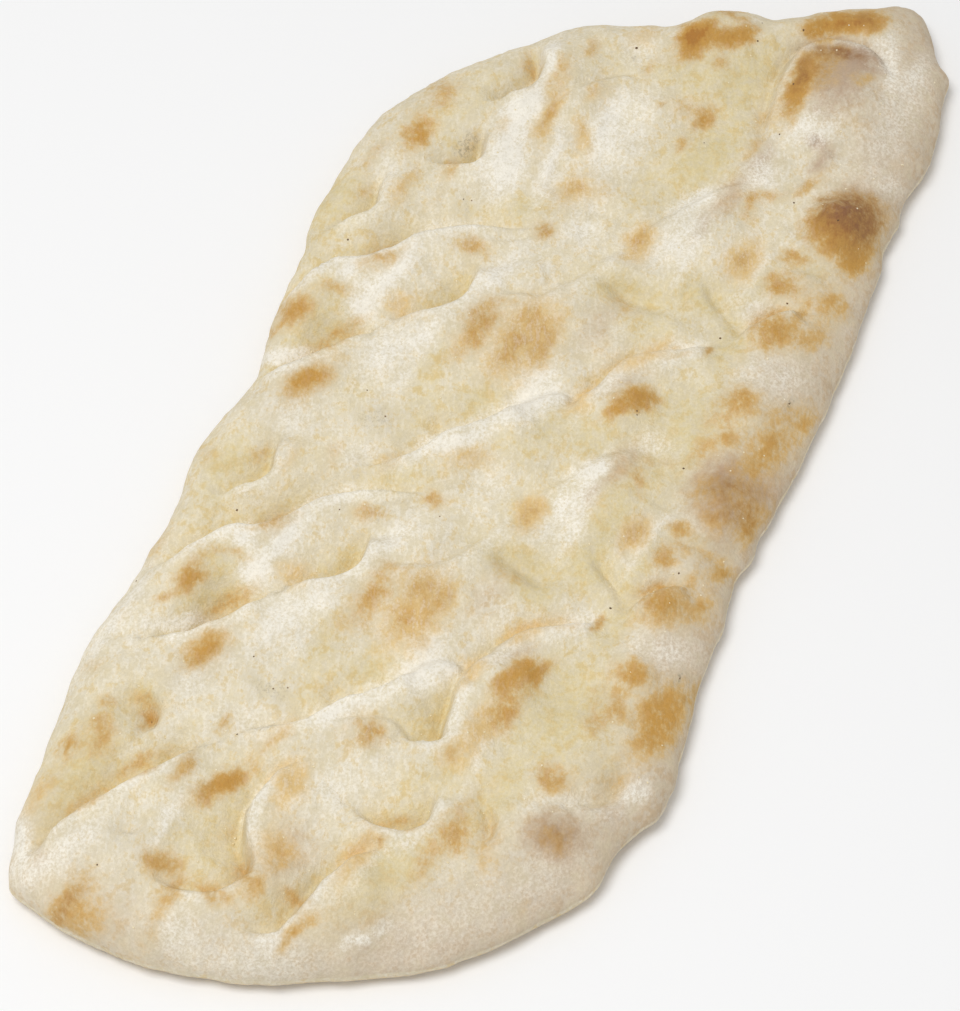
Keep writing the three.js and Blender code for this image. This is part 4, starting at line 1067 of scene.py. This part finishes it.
def rest_on_crust(x, y):
    """The crust's point and normal under a place in the reading frame."""
    start = Vector(((x - box_middle[0]) * MM, (y - box_middle[1]) * MM, RAY_HEIGHT))
    point, normal, _, _ = surface.ray_cast(start, Vector((0, 0, -1)))
    return point, normal


def scatter_piece(name, bits, flatness, material):
    """One joined mesh of bits: each has a place and a size in mm, and lies on the crust."""
    corners, sides = [], []
    for x, y, size in bits:
        point, normal = rest_on_crust(x, y)
        if point is None:
            continue
        spin = Matrix.Rotation(random.uniform(0, math.tau), 3, "Z")
        tilt = normal.to_track_quat("Z", "Y").to_matrix() @ spin
        shape, made = bit_shape(size * MM, flatness)
        first = len(corners)
        corners += [point + tilt @ Vector(corner) for corner in shape]
        sides += [tuple(first + index for index in face) for face in made]
    mesh = bpy.data.meshes.new(name)
    mesh.from_pydata(corners, [], sides)
    mesh.shade_smooth()
    mesh.materials.append(material)
    piece = bpy.data.objects.new(name, mesh)
    bpy.context.collection.objects.link(piece)
    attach(piece, "root")
    print(name, "has", len(bits), "bits")


def bit_material(name, dark, light):
    material = bpy.data.materials.new(name)
    material.use_nodes = True
    tree = material.node_tree
    shader = tree.nodes["Principled BSDF"]
    place = add_node(tree, "ShaderNodeTexCoord").outputs["Object"]
    tree.links.new(mix_colours(tree, grain(tree, place, 0.8), dark, light), shader.inputs["Base Color"])
    roughness = ramp_between(tree, grain(tree, place, 0.3), 0.0, 1.0, 0.6, 0.9)
    tree.links.new(roughness, shader.inputs["Roughness"])
    return material


flecks = [(*stand_at((x, y), DENT_LEVEL), FLECK_SIZE * size) for x, y, size in FLECKS]
scatter_piece("burnt_flecks", flecks, FLECK_FLATNESS, bit_material("burnt_flour", *BURNT_FLOUR))
grain_places = random.integers(0, AROUND_COUNT, GRAIN_COUNT), random.uniform(*GRAIN_INSET, GRAIN_COUNT)
grains = [(*ring_at(inset)[index], random.uniform(*GRAIN_SIZE)) for index, inset in zip(*grain_places)]
scatter_piece("semolina_grains", grains, GRAIN_FLATNESS, bit_material("semolina", *SEMOLINA))


# %% [markdown]
# ## Floor
# The loaf lies on a plain pale floor, large enough to fill the frame from every side. It belongs to
# the studio and not to the loaf, so it is not attached to the loaf's body.

# %% Floor
FLOOR_SIZE = 6.0


def floor_material():
    material = bpy.data.materials.new("studio_floor")
    material.use_nodes = True
    shader = material.node_tree.nodes["Principled BSDF"]
    shader.inputs["Base Color"].default_value = (0.93, 0.93, 0.93, 1)
    shader.inputs["Roughness"].default_value = 0.9
    return material


floor_mesh = bpy.data.meshes.new("floor")
half = FLOOR_SIZE / 2
corners = [(-half, -half, 0), (half, -half, 0), (half, half, 0), (-half, half, 0)]
floor_mesh.from_pydata(corners, [], [(0, 1, 2, 3)])
floor_mesh.materials.append(floor_material())
floor = bpy.data.objects.new("floor", floor_mesh)
bpy.context.collection.objects.link(floor)
print("floor of", FLOOR_SIZE, "by", FLOOR_SIZE, "m")


# %% [markdown]
# ## Light
# One large round lamp hangs nearly overhead, towards the blunt end and the far side, as in a product
# studio. Its size keeps the shadows soft, and a pale sky fills them, so crests stay bright and near
# walls turn softly grey.

# %% Light
KEY_PLACE, KEY_SIZE, KEY_POWER = Vector((-0.46, 0.22, 1.5)), 0.8, 12.4
FILL_STRENGTH = 0.55

key_lamp = bpy.data.lights.new("key", "AREA")
key_lamp.shape = "DISK"
key_lamp.size = KEY_SIZE
key_lamp.energy = KEY_POWER
key = bpy.data.objects.new("key", key_lamp)
key.location = KEY_PLACE
key.rotation_euler = KEY_PLACE.to_track_quat("Z", "Y").to_euler()
bpy.context.collection.objects.link(key)

world = bpy.data.worlds.new("studio")
bpy.context.scene.world = world
world.use_nodes = True
world.node_tree.nodes["Background"].inputs["Color"].default_value = (1, 1, 1, 1)
world.node_tree.nodes["Background"].inputs["Strength"].default_value = FILL_STRENGTH
bpy.context.scene.view_settings.view_transform = "Standard"
print("lamp at", [round(value, 2) for value in KEY_PLACE])


# %% [markdown]
# ## Camera
# The camera stands at the viewer's place and looks at the same target. A long lens fits the distance:
# it fills the frame with the loaf and shows little perspective.

# %% Camera
LENS, SENSOR = 120, 36

camera = bpy.data.objects.new("camera", bpy.data.cameras.new("camera"))
camera.data.lens = LENS
camera.data.sensor_width = SENSOR
camera.data.clip_start = 0.01
shift = np.array([*box_middle, 0])
camera.location = Vector((VIEWER - shift) * MM)
camera.rotation_euler = Vector(VIEW_BACK).to_track_quat("Z", "Y").to_euler()
bpy.context.collection.objects.link(camera)
bpy.context.scene.camera = camera
print("camera at", [round(value, 3) for value in camera.location])
